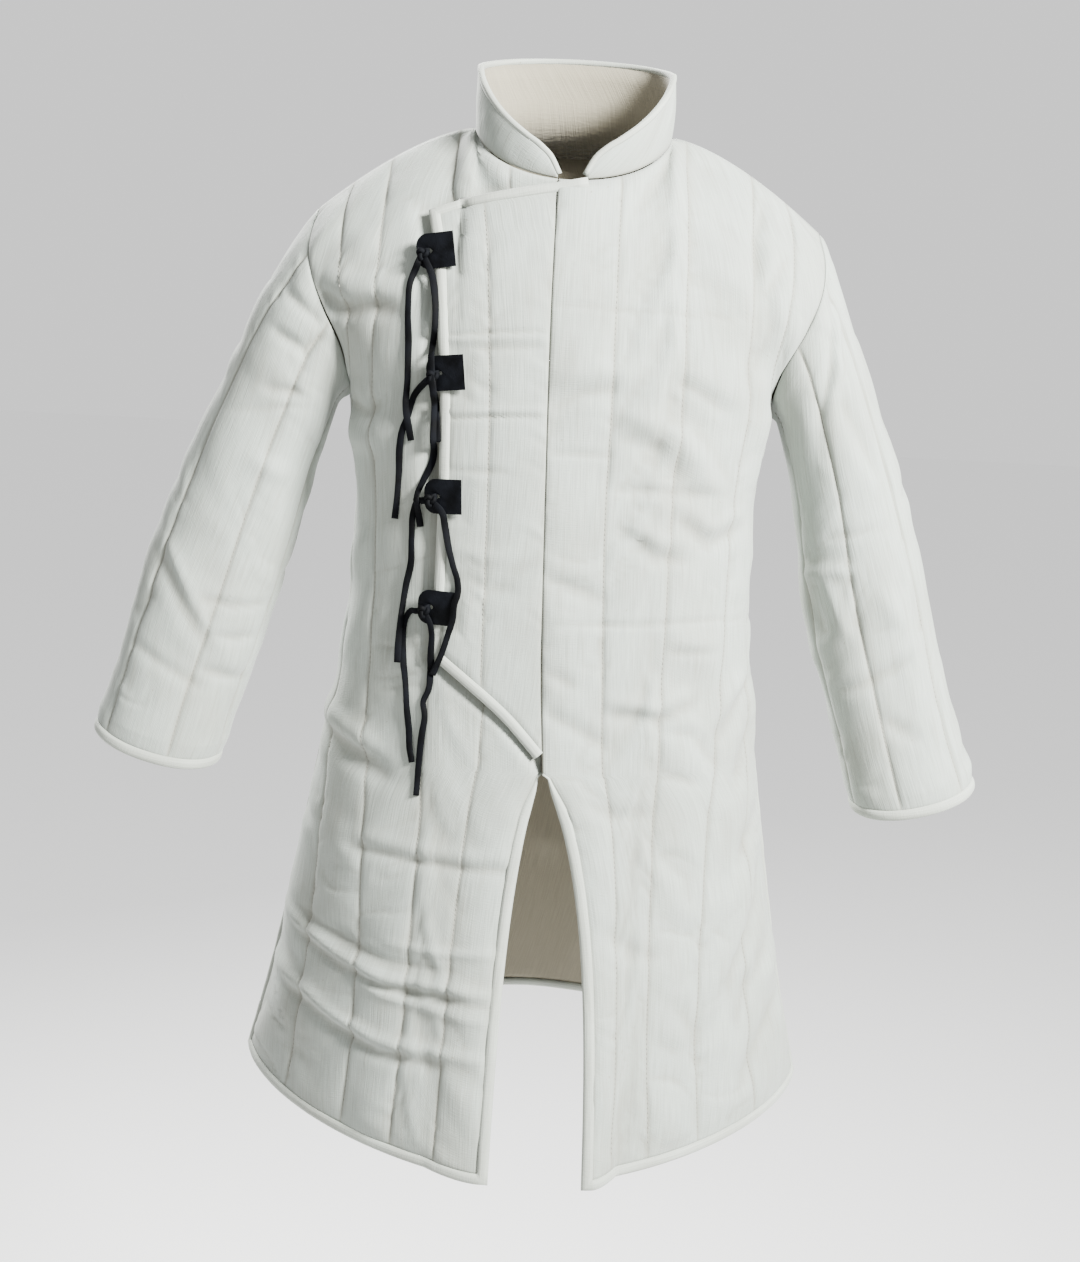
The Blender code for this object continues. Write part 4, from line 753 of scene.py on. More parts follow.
def cloth_wall(name, outer, inner, cut, painted_shade, closed=False):
    """A closed wall: the fine outside, a coarser plain inside and the rims that join them."""
    rows, columns = outer.shape[:2]
    inner_rows, inner_columns = inner.shape[:2]
    first = rows * columns
    out_faces, places = grid_faces(rows, columns, 0, closed)
    in_faces, _ = grid_faces(inner_rows, inner_columns, first, closed)
    out_numbers = np.arange(first).reshape(rows, columns)
    in_numbers = first + np.arange(inner_rows * inner_columns).reshape(inner_rows, inner_columns)
    if closed:
        out_numbers = np.concatenate([out_numbers, out_numbers[:, :1]], 1)
        in_numbers = np.concatenate([in_numbers, in_numbers[:, :1]], 1)
    rims = zip_rows(out_numbers[0], in_numbers[0]) + zip_rows(out_numbers[-1], in_numbers[-1])
    if not closed:
        rims += zip_rows(out_numbers[:, 0], in_numbers[:, 0])
        rims += zip_rows(out_numbers[:, -1], in_numbers[:, -1])
    faces = out_faces.tolist() + in_faces.tolist() + [tuple(map(int, rim)) for rim in rims]
    points = np.concatenate([outer.reshape(-1, 3), inner.reshape(-1, 3)])
    mesh = bpy.data.meshes.new(name)
    mesh.from_pydata(points.tolist(), [], faces)
    corner_uv = [cut[places[..., 0].ravel(), places[..., 1].ravel()]]
    spread = np.linspace(0, cut.shape[1] - 1, inner_columns + closed).astype(int)
    down = np.linspace(0, cut.shape[0] - 1, inner_rows).astype(int)
    coarse = cut[np.ix_(down, spread)]
    _, in_places = grid_faces(inner_rows, inner_columns, 0, closed)
    corner_uv.append(coarse[in_places[..., 0].ravel(), in_places[..., 1].ravel()])
    corner_uv.append(np.zeros((len(rims) * 3, 2)))
    layer = mesh.uv_layers.new(name="cut")
    layer.data.foreach_set("uv", np.concatenate(corner_uv).astype(np.float32).ravel())
    # painted shade of each outside point, read by the cloth's colour; none on the inside
    shade = mesh.attributes.new("painted_shade", "FLOAT", "POINT")
    shade.data.foreach_set("value", np.concatenate([painted_shade.ravel(), np.zeros(inner[..., 0].size)])
                           .astype(np.float32))
    slots = np.zeros(len(faces), np.int32)
    slots[len(out_faces):len(out_faces) + len(in_faces)] = 1
    mesh.materials.append(CLOTH)
    mesh.materials.append(LINING_AND_SHADE)
    mesh.polygons.foreach_set("material_index", slots)
    face_out(mesh)
    smoothed = np.ones(len(faces), bool)
    smoothed[len(out_faces) + len(in_faces):] = False
    mesh.polygons.foreach_set("use_smooth", smoothed)
    return keep(name, mesh)


def face_out(mesh):
    """Turns every face outwards and smooths the shading."""
    bm = bmesh.new()
    bm.from_mesh(mesh)
    bmesh.ops.recalc_face_normals(bm, faces=bm.faces)
    if bm.calc_volume(signed=True) < 0:
        bmesh.ops.reverse_faces(bm, faces=bm.faces)
    bm.to_mesh(mesh)
    bm.free()
    mesh.polygons.foreach_set("use_smooth", [True] * len(mesh.polygons))
    return mesh


def keep(name, mesh):
    """Makes the mesh a piece that rides on the coat."""
    obj = bpy.data.objects.new(name, mesh)
    bpy.context.scene.collection.objects.link(obj)
    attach(obj, "root")
    return obj


def cut_size(u, v, grid):
    """Width, length and area of a panel as it was cut."""
    sides = np.cross(np.diff(grid, axis=1)[:-1], np.diff(grid, axis=0)[:, :-1])
    area = np.linalg.norm(sides, axis=-1).sum()
    return (round(float(u[:, -1].max()), 3), round(float(v[-1].max()), 3)), round(float(area), 4)


STITCH = 0.0030
STITCH_PITCH = 0.0050
THREAD_HALF = 0.00050


def stitch_row(points, normals):
    """Middle, direction and upward direction of each stitch along a run of points."""
    steps = np.linalg.norm(np.diff(points, axis=0), axis=1)
    run = np.concatenate([[0], np.cumsum(steps)])
    places = np.arange(STITCH_PITCH, run[-1] - STITCH_PITCH, STITCH_PITCH)
    middle = np.stack([np.interp(places, run, points[:, k]) for k in range(3)], 1)
    ahead = np.stack([np.interp(places + STITCH / 2, run, points[:, k]) for k in range(3)], 1)
    up = np.stack([np.interp(places, run, normals[:, k]) for k in range(3)], 1)
    along = ahead - middle
    along /= np.linalg.norm(along, axis=1, keepdims=True)
    return middle, along, up / np.linalg.norm(up, axis=1, keepdims=True)


def make_stitches(name, rows):
    """Every stitch of a piece, each a short thread that dips into the cloth at both ends."""
    middle, along, up = [np.concatenate(part) for part in zip(*rows)]
    across = np.cross(along, up)
    sections = ((-0.5, -0.7, 0.3), (-0.3, 0.2, 1.0), (0.3, 0.2, 1.0), (0.5, -0.7, 0.3))
    rings = []
    for forward, height, size in sections:
        for k in range(6):
            turn = k * math.pi / 3
            rise = THREAD_HALF * (height + size * math.sin(turn))
            rings.append(middle + along * forward * STITCH + up * rise
                         + across * THREAD_HALF * size * math.cos(turn))
    points = np.stack(rings, 1)
    count = points.shape[1]
    faces = []
    for ring in range(3):
        for k in range(6):
            m = (k + 1) % 6
            faces.append((ring * 6 + k, ring * 6 + m, ring * 6 + 6 + m, ring * 6 + 6 + k))
    caps = [tuple(range(5, -1, -1)), tuple(range(18, 24))]
    everything = []
    for start in range(0, len(middle) * count, count):
        everything += [tuple(start + corner for corner in face) for face in faces + caps]
    mesh = bpy.data.meshes.new(name)
    mesh.from_pydata(points.reshape(-1, 3).tolist(), [], everything)
    mesh.materials.append(THREAD)
    mesh.polygons.foreach_set("use_smooth", [True] * len(mesh.polygons))
    return keep(name, mesh)


# Bindings.

def outward(step, normal, inward):
    """Direction away from the panel, square to its edge."""
    away = np.cross(step, normal)
    away /= np.linalg.norm(away)
    return away if away @ inward < 0 else -away


def bind(name, edge, inward, normals, widths, half=BINDING_HALF, closed=False, seed=0):
    """A bound edge: a soft rolled strip along a row of edge points, with small puckers."""
    steps = np.diff(np.vstack([edge, edge[:1]]) if closed else edge, axis=0)
    steps /= np.linalg.norm(steps, axis=1, keepdims=True)
    before = np.roll(steps, 1, 0) if closed else np.vstack([steps[:1], steps])
    after = steps if closed else np.vstack([steps, steps[-1:]])
    lengths = np.linalg.norm(np.diff(edge, axis=0), axis=1)
    run = np.concatenate([[0], np.cumsum(lengths)])
    rings = []
    turns = np.linspace(-0.5, 0.5, 9) * math.pi
    for i, point in enumerate(edge):
        out = outward(before[i], normals[i], inward[i]) + outward(after[i], normals[i], inward[i])
        out /= max(out @ out / 2, 0.8)
        middle = point - normals[i] * WALL / 2
        swell = (1 + 0.07 * rolling(run[i] / 0.013, 0.5, seed + 5)
                 + 0.04 * rolling(run[i] / 0.005, 2.5, seed + 6))
        w = widths[i]
        ring = [middle - out * BINDING_TUCK + normals[i] * half * 0.78 * swell]
        for turn in turns[::-1]:
            ring.append(middle + out * (0.30 * w + 0.70 * w * math.cos(turn) ** 0.8)
                        + normals[i] * half * swell * math.sin(turn))
        ring.append(middle - out * BINDING_TUCK - normals[i] * half * 0.78 * swell)
        rings.append(ring)
    rings = np.array(rings)
    count, around = rings.shape[:2]
    profile = np.concatenate([[0], np.cumsum(np.linalg.norm(np.diff(rings[count // 2], axis=0), axis=1))])
    cut = np.zeros((count + closed, around + 1, 2))
    cut[..., 0] = np.append(profile, profile[-1] + 0.006)
    cut[..., 1] = np.append(run, run[-1] + lengths[0])[:count + closed, None]
    return tube(name, rings, cut, closed, TRIM)


def tube(name, rings, cut, closed, material):
    """A closed tube through rings of points: a loop, or with flat ends."""
    count, around = rings.shape[:2]
    faces, corner_uv = [], []
    for i in range(count if closed else count - 1):
        j = (i + 1) % count
        for k in range(around):
            m = (k + 1) % around
            faces.append((i * around + k, i * around + m, j * around + m, j * around + k))
            corner_uv += [cut[i, k], cut[i, k + 1], cut[i + 1, k + 1], cut[i + 1, k]]
    if not closed:
        faces += [tuple(range(around)), tuple(range(count * around - 1, (count - 1) * around - 1, -1))]
        corner_uv += [cut[0, k] for k in range(around)] + [cut[-1, k] for k in range(around)]
    mesh = bpy.data.meshes.new(name)
    mesh.from_pydata(rings.reshape(-1, 3).tolist(), [], faces)
    layer = mesh.uv_layers.new(name="cut")
    layer.data.foreach_set("uv", np.array(corner_uv, np.float32).ravel())
    mesh.materials.append(material)
    return keep(name, face_out(mesh))


def edge_run(grid, normals, places):
    """Edge points, directions into the panel and normals, at a run of (row, column) places."""
    last_row, last_column = grid.shape[0] - 1, grid.shape[1] - 1
    points, inwards, ups = [], [], []
    for r, c in places:
        r2 = min(max(r, 1), last_row - 1)
        c2 = min(max(c, 1), last_column - 1)
        points.append(grid[r, c])
        inwards.append(grid[r2, c2] - grid[r, c])
        ups.append(normals[r, c])
    return np.array(points), np.array(inwards), np.array(ups)


def bind_run(name, grid, normals, lift, places, width_of, seed):
    """Binds a run of a panel's edge, lifted as far as the panel is there."""
    points, inwards, ups = edge_run(grid, normals, places)
    lifts = np.array([lift[r, c] for r, c in places])
    widths = np.array([width_of(point) for point in points])
    return bind(name, points + ups * lifts[:, None], inwards, ups, widths, seed=seed)


# The torso.

HEIGHTS = np.concatenate([np.linspace(ARMPIT_Z, VENT_TOP, WAIST_ROWS + 1)[1:],
                          np.linspace(VENT_TOP, HEM_Z + BINDING, SKIRT_ROWS + 1)[1:]])
VENT_ROW = ARM_ROWS + WAIST_ROWS
SLIT_ROW = ARM_ROWS + 1 + int(np.argmax(HEIGHTS < SLIT_TOP))


def even_yoke(grid):
    """Evens out the hollow that runs down from the end of the neckline, below the collar's foot."""
    rows = np.arange(len(grid))[:, None]
    share = ramp(rows, 0, 9) * (1 - ramp(rows, 30, 54))
    share = share * np.exp(-((np.abs(grid[..., 0]) - NECK_HALF - 0.012) / 0.034) ** 2)
    y = grid[..., 1]
    for _ in range(40):
        y[:, 1:-1] += (y[:, :-2] - 2 * y[:, 1:-1] + y[:, 2:]) / 4 * share[:, 1:-1]
    return grid


def make_torso():
    """Grids and normals of the three torso panels."""
    panels = {}
    for name, side in (("front_left", 1), ("front_right", -1)):
        grid = even_yoke(half_panel(side, True, HEIGHTS))
        panels[name] = grid, normals_of(grid)
    right, left = [half_panel(side, False, HEIGHTS) for side in (-1, 1)]
    grid = np.concatenate([right[:, :0:-1], left], 1)
    panels["back"] = grid, normals_of(grid)
    return panels


def clear_of_armpit(grid):
    """Share of the rise to keep: none at the armpit, where torso and sleeve face each other."""
    armpit = np.array([ARMPIT_X, 0, ARMPIT_Z])
    away = np.linalg.norm(np.abs(grid) * [1, 1, -1] - armpit, axis=-1)
    return ramp(away, 0.010, 0.050)


def quilt_lines(name, columns):
    """Columns of a panel's quilting lines. The back has none down its middle."""
    lines = list(range(0, columns, PER_CHANNEL))
    if name == "back":
        lines.remove((columns - 1) // 2)
    return lines


def make_panel(name, grid, normals, seed):
    """One torso panel: its wall, its binding and its stitches."""
    u, v = runs_of(grid)
    lines = quilt_lines(name, grid.shape[1])
    rise, nearest = quilting(grid, lines, seed)
    x, z = grid[..., 0], grid[..., 2]
    kept = clear_of_armpit(grid)
    seat = np.zeros(x.shape)
    if name == "front_right":
        covered = under_flap(x, z)
        kept = kept * (1 - 0.6 * covered)
        seat = -FLAP_SEAT * covered
    base = np.zeros(x.shape)
    if name == "front_left":
        below_neck = ramp(top_edge(x, True)[1] - z, 0.001, 0.014)
        near_seam = 1 - ramp(x, 0.0, 0.07)
        base = FLAP_LIFT * near_seam * ramp(z, VENT_TOP - 0.10, VENT_TOP) * below_neck
    sides = np.minimum(u, u[:, -1:] - u)
    edge_fade = np.clip(sides / 0.006, 0, 1) ** 0.5
    lift = fade_ends(rise * kept + fold_rise(name, grid, normals) * edge_fade + seat, v)
    outer = grid + normals * (lift + base)[..., None]
    # painted shade in the creases and beside the stitch lines
    painted_shade = shade_in_creases(outer, normals, nearest)
    level = np.minimum(lift, 0) + base - WALL
    inner = grid + normals * level[..., None]
    inner = np.concatenate([inner[:-1:3], inner[-1:]])[:, ::2]
    wall = cloth_wall(name + "_cloth", outer, inner, np.stack([u, v], -1), painted_shade)
    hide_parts(name)
    binding = bind_edges(name, grid, normals, base, seed)
    stitch_rows = [stitch_row(outer[6:-3, c], normals[6:-3, c]) for c in lines[1:-1]]
    stitches = make_stitches(name + "_stitches", stitch_rows)


def bind_edges(name, grid, normals, base, seed):
    """Binds the hem and the edges of the slits, and of the vent on a front panel."""
    last_row, last = grid.shape[0] - 1, grid.shape[1] - 1

    def width_at(point):
        top = VENT_TOP if abs(point[0]) < 0.1 and name != "back" else SLIT_TOP
        return edge_width(point[2], top) - 0.0002 - 0.0020 * ramp(point[2] - top, -0.02, 0)

    hem = [(last_row, c) for c in range(last + 1)]
    start = SLIT_ROW if name == "back" else VENT_ROW
    run = ([(r, 0) for r in range(start, last_row)] + hem
           + [(r, last) for r in range(last_row - 1, SLIT_ROW - 1, -1)])
    binding = bind_run(name + "_edge", grid, normals, base, run, width_at, seed)
    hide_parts(name + "_binding")
    return binding


def under_tabs(grid):
    """1 where a leather tab presses the cloth flat, 0 clear of the tabs."""
    flat = np.zeros(grid.shape[:-1])
    for x, z in zip(TABS["x"], TABS["z"]):
        away_x = np.abs(grid[..., 0] - x) - TAB_WIDTH / 2
        away_z = np.abs(grid[..., 2] - z) - TAB_HEIGHT / 2
        away = np.maximum(away_x, away_z)
        flat = np.maximum(flat, 1 - ramp(away, 0.002, 0.014))
    return flat


def make_overlap():
    """The flap: from its bound left edge to the front seam."""
    u_shares = between(np.array([0, FLAP_LINE, 1.0]), PER_CHANNEL)
    rows = []
    for share in np.linspace(0, 1, FLAP_ROWS):
        x = FLAP_WIDTH * u_shares - FLAP_WIDTH
        for _ in range(6):
            top = smooth(x, FLAP_TOP["x"], FLAP_TOP["z"]) - FLAP_INSET
            foot = smooth(x, FLAP_FOOT["x"], FLAP_FOOT["z"]) + FLAP_INSET * 1.25
            z = top + (foot - top) * share
            low, high = flap_left(z) + FLAP_INSET, seam_x(z) - 2 * GAP
            x = low + (high - low) * u_shares
        rows.append(np.stack([x, front_y(x, z), z], 1))
    grid = np.array(rows)
    normals = normals_of(grid)
    u, v = runs_of(grid)
    rise, nearest = quilting(grid, [0, PER_CHANNEL, 2 * PER_CHANNEL], 31, 0.0018, 0.0012)
    base = np.full(u.shape, FLAP_LIFT)
    flat = under_tabs(grid)
    lift = fade_ends((rise + fold_rise("overlap", grid, normals)) * (1 - flat), v, 0.010)
    outer = grid + normals * (lift + base)[..., None]
    # painted shade in the creases and beside the stitch lines
    painted_shade = shade_in_creases(outer, normals, nearest)
    inner = grid + normals * (np.minimum(lift, 0) + base - WALL)[..., None]
    inner = np.concatenate([inner[:-1:3], inner[-1:]])[:, ::2]
    wall = cloth_wall("overlap_cloth", outer, inner, np.stack([u, v], -1), painted_shade)
    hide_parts("overlap")
    last_row, last = grid.shape[0] - 1, grid.shape[1] - 1
    run = ([(0, c) for c in range(last, -1, -1)] + [(r, 0) for r in range(1, last_row + 1)]
           + [(last_row, c) for c in range(1, last + 1)])
    points, inwards, ups = edge_run(grid, normals, run)
    points = points + ups * FLAP_LIFT
    onward = (points[0] - points[3]) / np.linalg.norm(points[0] - points[3])
    ahead = [points[0] + onward * FLAP_TAIL * share + ups[0] * FLAP_TAIL_LIFT * share
             for share in (1, 0.66, 0.33)]
    points = np.vstack([ahead, points])
    inwards = np.vstack([inwards[:1]] * 3 + [inwards])
    ups = np.vstack([ups[:1]] * 3 + [ups])
    widths = np.full(len(points), BINDING - GAP)
    binding = bind("overlap_edge", points, inwards, ups, widths, seed=33)
    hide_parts("overlap_binding")
    stitches = make_stitches("overlap_stitches", [stitch_row(outer[2:-2, PER_CHANNEL],
                                                             normals[2:-2, PER_CHANNEL])])
    flat, area = cut_size(u, v, grid)


# The collar.

def collar_ring(turn, level):
    """Point of the collar at a share of the way round, and height above the neckline."""
    start = math.asin(COLLAR_START / NECK_HALF)
    angle = start + (2 * math.pi - 2 * start) * turn
    x = -NECK_HALF * math.copysign(abs(math.sin(angle)) ** (2 / NECK_SQUARE), math.sin(angle))
    share = abs(math.cos(angle)) ** (2 / NECK_SQUARE)
    front = math.cos(angle) > 0
    y = -NECK_FRONT * share if front else NECK_BACK * share
    z = (-NECK_DIP if front else NECK_RISE) * share ** NECK_FALL
    lean = 0 if front else COLLAR_LEAN * level
    return np.array([x, y + lean, z + COLLAR_GAP + level])


def collar_height(turn):
    """Height of the collar at a share of the way round, the same on both sides."""
    return smooth(min(turn, 1 - turn), COLLAR["turn"], COLLAR["height"])


def make_collar():
    """The standing collar and the binding along its top."""
    even = np.linspace(0, 1, 181)
    turns = 0.65 * even + 0.35 * (0.5 - 0.5 * np.cos(even * math.pi))
    grid = np.array([[collar_ring(t, (collar_height(t) - COLLAR_RIM) * level) for t in turns]
                     for level in np.linspace(1, 0, 15)])
    normals = normals_of(grid)
    normals[..., 2] = 0
    normals /= np.linalg.norm(normals, axis=2, keepdims=True)
    u, v = runs_of(grid)
    height = np.maximum(v[-1:], 1e-6)
    swell = np.clip(4 * (v / height) * (1 - v / height), 0, 1)
    rise = 0.0012 * swell + 0.0010 * swell * rolling(u / 0.030, v / 0.05, 41)
    rise += 0.0005 * swell * rolling(u / 0.011, v / 0.02, 42)
    outer = grid + normals * rise[..., None]
    inner = grid - normals * COLLAR_WALL
    behind = ramp(grid[-1, :, 1], -0.02, 0.04)
    inner[-1, :, 2] -= NECK_FACING * behind
    # painted shade: the collar's outside darkens towards its foot, where it meets the body
    painted_shade = np.exp(-(height - v) / 0.003) * np.ones(u.shape)
    wall = cloth_wall("collar_cloth", outer, inner[[0, 4, 9, 14]][:, ::2], np.stack([u, v], -1), painted_shade)
    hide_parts("collar")
    down = np.tile([0, 0, -1.0], (len(turns), 1))
    rims = np.full(len(turns), COLLAR_RIM)
    edge = grid[0] - normals[0] * (COLLAR_WALL - WALL) / 2
    binding = bind("collar_edge", edge, down, normals[0], rims, 0.0033, seed=43)
    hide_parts("collar_binding")


# The sleeves.

def make_sleeve(side, panels):
    """A sleeve: its quilted tube and the binding round its cuff."""
    rows = SLEEVES[side]
    name = "sleeve_left" if side > 0 else "sleeve_right"
    front = panels["front_left" if side > 0 else "front_right"][0][: ARM_ROWS + 1, -1]
    back = panels["back"][0][: ARM_ROWS + 1, -1 if side > 0 else 0]
    ring = np.concatenate([front, back[-2:0:-1]])
    ring = ring + [side * SEAM_GAP, 0, 0]
    ring[[0, ARM_ROWS], 1] = 0
    columns = SLEEVE_LINES * SLEEVE_PER_CHANNEL
    turns = between(np.arange(SLEEVE_LINES + 1) / SLEEVE_LINES, SLEEVE_PER_CHANNEL)[:-1]
    turns = (turns + FIRST_SLEEVE_LINE) % 1
    turns = np.roll(turns, int(np.argmin(turns)) * -1)
    places = np.arange(2 * ARM_ROWS + 1) / (2 * ARM_ROWS)
    armhole = np.stack([np.interp(turns, places, np.append(ring[:, k], ring[0, k])) for k in range(3)], 1)
    steps = np.arange(len(rows["outer_x"]), dtype=float)
    t = np.linspace(0, 1, SLEEVE_ROWS) ** 0.95 * steps[-1]
    values = {key: smooth(t, steps, column) for key, column in rows.items()}
    angle = turns * 2 * math.pi
    cos = np.sign(np.cos(angle)) * np.abs(np.cos(angle)) ** 0.9
    sin = np.sign(np.sin(angle)) * np.abs(np.sin(angle)) ** 0.9
    grid = []
    for k in range(SLEEVE_ROWS):
        at = {key: value[k] for key, value in values.items()}
        outer = np.array([at["outer_x"], at["outer_z"]])
        inner = np.array([at["inner_x"], at["inner_z"]])
        half = (outer - inner) / 2
        half -= half / np.linalg.norm(half) * SLEEVE_INSET
        middle = (outer + inner) / 2
        x = middle[0] + half[0] * cos
        z = middle[1] + half[1] * cos - at["dip"] * np.clip(sin, 0, 1) ** 2
        y = at["middle_y"] - (at["half_depth"] - SLEEVE_INSET) * sin
        grid.append(np.stack([x * side, y, z], 1))
    grid = np.array(grid)
    fade = (1 - ramp(t, 0, 1.6))[:, None, None]
    grid = grid + (armhole - grid[0]) * fade
    normals = normals_of(grid, closed=True)
    round_grid = np.concatenate([grid, grid[:, :1]], 1)
    u, v = runs_of(round_grid)
    first = int(np.argmin(np.abs(turns - FIRST_SLEEVE_LINE)))
    shifted = np.roll(np.arange(columns), -first)
    order = np.append(shifted, shifted[0])
    lines = list(range(0, columns + 1, SLEEVE_PER_CHANNEL))
    rise, nearest = quilting(grid[:, order], lines, 60 + side, 0.0034, 0.0024, 0.35)
    back_order = np.argsort(shifted)
    rise, nearest = rise[:, :-1][:, back_order], nearest[:, :-1][:, back_order]
    lift = fade_ends(rise * clear_of_armpit(grid) + fold_rise(name, grid, normals), v[:, :-1])
    outer = grid + normals * lift[..., None]
    # painted shade in the creases and beside the stitch lines
    painted_shade = shade_in_creases(outer, normals, nearest)
    inner = grid + normals * (np.minimum(lift, 0) - WALL)[..., None]
    inner = np.concatenate([inner[:-1:3], inner[-1:]])[:, ::2]
    wall = cloth_wall(name + "_cloth", outer, inner, np.stack([u, v], -1), painted_shade, closed=True)
    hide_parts(name)
    cuff = "cuff_left" if side > 0 else "cuff_right"
    widths = np.full(columns, BINDING)
    binding = bind(cuff + "_edge", grid[-1], grid[-2] - grid[-1], normals[-1], widths, closed=True,
                   seed=70 + side)
    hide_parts(cuff + "_binding")
    columns_of_lines = [(first + line) % columns for line in lines[:-1]]
    rows_of_stitches = [stitch_row(outer[6:-3, c], normals[6:-3, c]) for c in columns_of_lines]
    stitches = make_stitches(name + "_stitches", rows_of_stitches)


# Tabs and laces.

def tree_of(names):
    """The named pieces as one tree for finding where a line meets them."""
    bm = bmesh.new()
    for name in names:
        bm.from_mesh(bpy.data.objects[name].data)
    tree = BVHTree.FromBMesh(bm)
    bm.free()
    return tree


def tab_plane(number):
    """The front face of the tab's solid: a point on it, and its slopes across and up."""
    points = np.array([vert.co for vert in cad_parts[f"tab_{number}"].data.vertices])
    x, z = TABS["x"][number - 1], TABS["z"][number - 1]
    terms = np.stack([np.ones(len(points)), points[:, 0] - x, points[:, 2] - z], 1)
    fit = np.linalg.lstsq(terms, points[:, 1], rcond=None)[0]
    front = min(points[:, 1] - terms[:, 1:] @ fit[1:])
    return x, z, front, fit[1], fit[2]


def make_tab(number):
    """A leather tab with two rounded corners and a punched hole."""
    x, z, front, lean, slope = tab_plane(number)
    curve = bpy.data.curves.new(f"tab_{number}_leather", "CURVE")
    curve.dimensions = "2D"
    curve.fill_mode = "BOTH"
    curve.extrude = TAB_HALF_THICK - TAB_BEVEL
    curve.bevel_depth = TAB_BEVEL
    curve.bevel_resolution = 2
    w, h, r = TAB_WIDTH / 2 - TAB_BEVEL, TAB_HEIGHT / 2 - TAB_BEVEL, TAB_CORNER
    outline = [(w, -h), (w, h)]
    for centre, start in (((-w + r, h - r), 90), ((-w + r, -h + r), 180)):
        for step in range(9):
            turn = math.radians(start + step * 11.25)
            outline.append((centre[0] + r * math.cos(turn), centre[1] + r * math.sin(turn)))
    hole = [(HOLE_SIDE + HOLE * math.cos(k * math.pi / 8), HOLE * math.sin(k * math.pi / 8))
            for k in range(16)]
    for points in (outline, hole):
        spline = curve.splines.new("POLY")
        spline.points.add(len(points) - 1)
        spline.use_cyclic_u = True
        for point, (px, pz) in zip(spline.points, points):
            point.co = (px, pz, 0, 1)
    flat = bpy.data.objects.new("flat_tab", curve)
    bpy.context.scene.collection.objects.link(flat)
    bpy.context.view_layer.update()
    graph = bpy.context.evaluated_depsgraph_get()
    mesh = bpy.data.meshes.new_from_object(flat.evaluated_get(graph))
    bpy.data.objects.remove(flat)
    bm = bmesh.new()
    bm.from_mesh(mesh)
    bmesh.ops.remove_doubles(bm, verts=bm.verts, dist=1e-6)
    bmesh.ops.triangulate(bm, faces=[face for face in bm.faces if len(face.verts) > 4])
    turn = math.radians(TAB_TURN[number - 1])
    for vert in bm.verts:
        px, pz, depth = vert.co
        curl = 0.9 * max(-px - 0.004, 0) ** 1.5
        px, pz = px * math.cos(turn) - pz * math.sin(turn), px * math.sin(turn) + pz * math.cos(turn)
        vert.co = (x + px, front + TAB_HALF_THICK + lean * px + slope * pz + depth - curl * 0.6, z + pz)
    bm.to_mesh(mesh)
    bm.free()
    mesh.materials.clear()
    mesh.materials.append(LEATHER)
    mesh.name = f"tab_{number}_leather"
    tab = keep(f"tab_{number}_leather", face_out(mesh))
    split = tab.modifiers.new("edges", "EDGE_SPLIT")
    split.split_angle = math.radians(50)
    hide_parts(f"tab_{number}")
    return tab


def strap(name, path, ups, widths, thick):
    """A flat leather strip along a path, its broad side towards ups."""
    rings = []
    ahead = np.gradient(path, axis=0)
    ahead /= np.linalg.norm(ahead, axis=1, keepdims=True)
    shape = ((-1, -0.5), (-0.8, -1), (0.8, -1), (1, -0.5), (1, 0.5), (0.8, 1), (-0.8, 1), (-1, 0.5))
    for place, along, towards, width in zip(path, ahead, ups, widths):
        side = np.cross(along, towards)
        side /= np.linalg.norm(side)
        up = np.cross(side, along)
        rings.append([place + side * a * width / 2 + up * b * thick / 2 for a, b in shape])
    return tube(name, np.array(rings), np.zeros((len(path), 9, 2)), False, STRAP)


def surface(tree, x, z):
    """First point met by a line that runs straight back at this place, seen from the front."""
    hit, _, _, _ = tree.ray_cast(Vector((x, -1, z)), Vector((0, 1, 0)))
    return hit


def knot_middle(number, tree):
    """Middle of the knot: where the solid one is, resting on the tab or the cloth."""
    low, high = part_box(f"knot_{number}")
    x, z = (low[0] + high[0]) / 2, (low[2] + high[2]) / 2
    return np.array([x, surface(tree, x, z).y - KNOT_DEPTH, z])


def make_knot(number, middle):
    """The lace's knot: a flat strap wound three times round itself beside the tab."""
    t = np.linspace(0, 2 * math.pi, 73)[:-1]
    x = (np.sin(t) + 2 * np.sin(2 * t)) * KNOT * 0.85
    z = (np.cos(t) - 2 * np.cos(2 * t)) * KNOT * 0.95
    y = -np.sin(3 * t) * 0.0017
    path = middle + np.stack([x, y, z], 1)
    rings = []
    ahead = np.roll(path, -1, 0) - np.roll(path, 1, 0)
    ahead /= np.linalg.norm(ahead, axis=1, keepdims=True)
    for i in range(len(path)):
        away = path[i] - middle
        away[1] -= 0.004
        side = np.cross(ahead[i], away)
        side /= np.linalg.norm(side)
        up = np.cross(side, ahead[i])
        ring = [path[i] + side * 0.0024 * math.cos(k * math.pi / 4) + up * 0.0018 * math.sin(k * math.pi / 4)
                for k in range(8)]
        rings.append(ring)
    cut = np.zeros((len(path) + 1, 9, 2))
    knot = tube(f"knot_{number}_leather", np.array(rings), cut, True, STRAP)
    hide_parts(f"knot_{number}")


def make_loop(number, middle):
    """The stretch of lace from the tab's hole to the knot."""
    x, z, front, lean, slope = tab_plane(number)
    turn = math.radians(TAB_TURN[number - 1])
    hole = HOLE_SIDE - 0.0012
    along, up = hole * math.cos(turn), hole * math.sin(turn)
    start = np.array([x + along, front + lean * along + slope * up + 0.0012, z + up])
    over = start + [-0.0035, -0.0042, -0.0004]
    end = middle + [0.002, -0.0012, 0.0004]
    shares = np.linspace(0, 1, 13)[:, None]
    path = start * (1 - shares) ** 2 + over * 2 * shares * (1 - shares) + end * shares ** 2
    ups = np.tile([0, -1.0, 0], (13, 1))
    return strap(f"loop_{number}_leather", path, ups, np.full(13, STRAP_WIDTH), 0.0018)


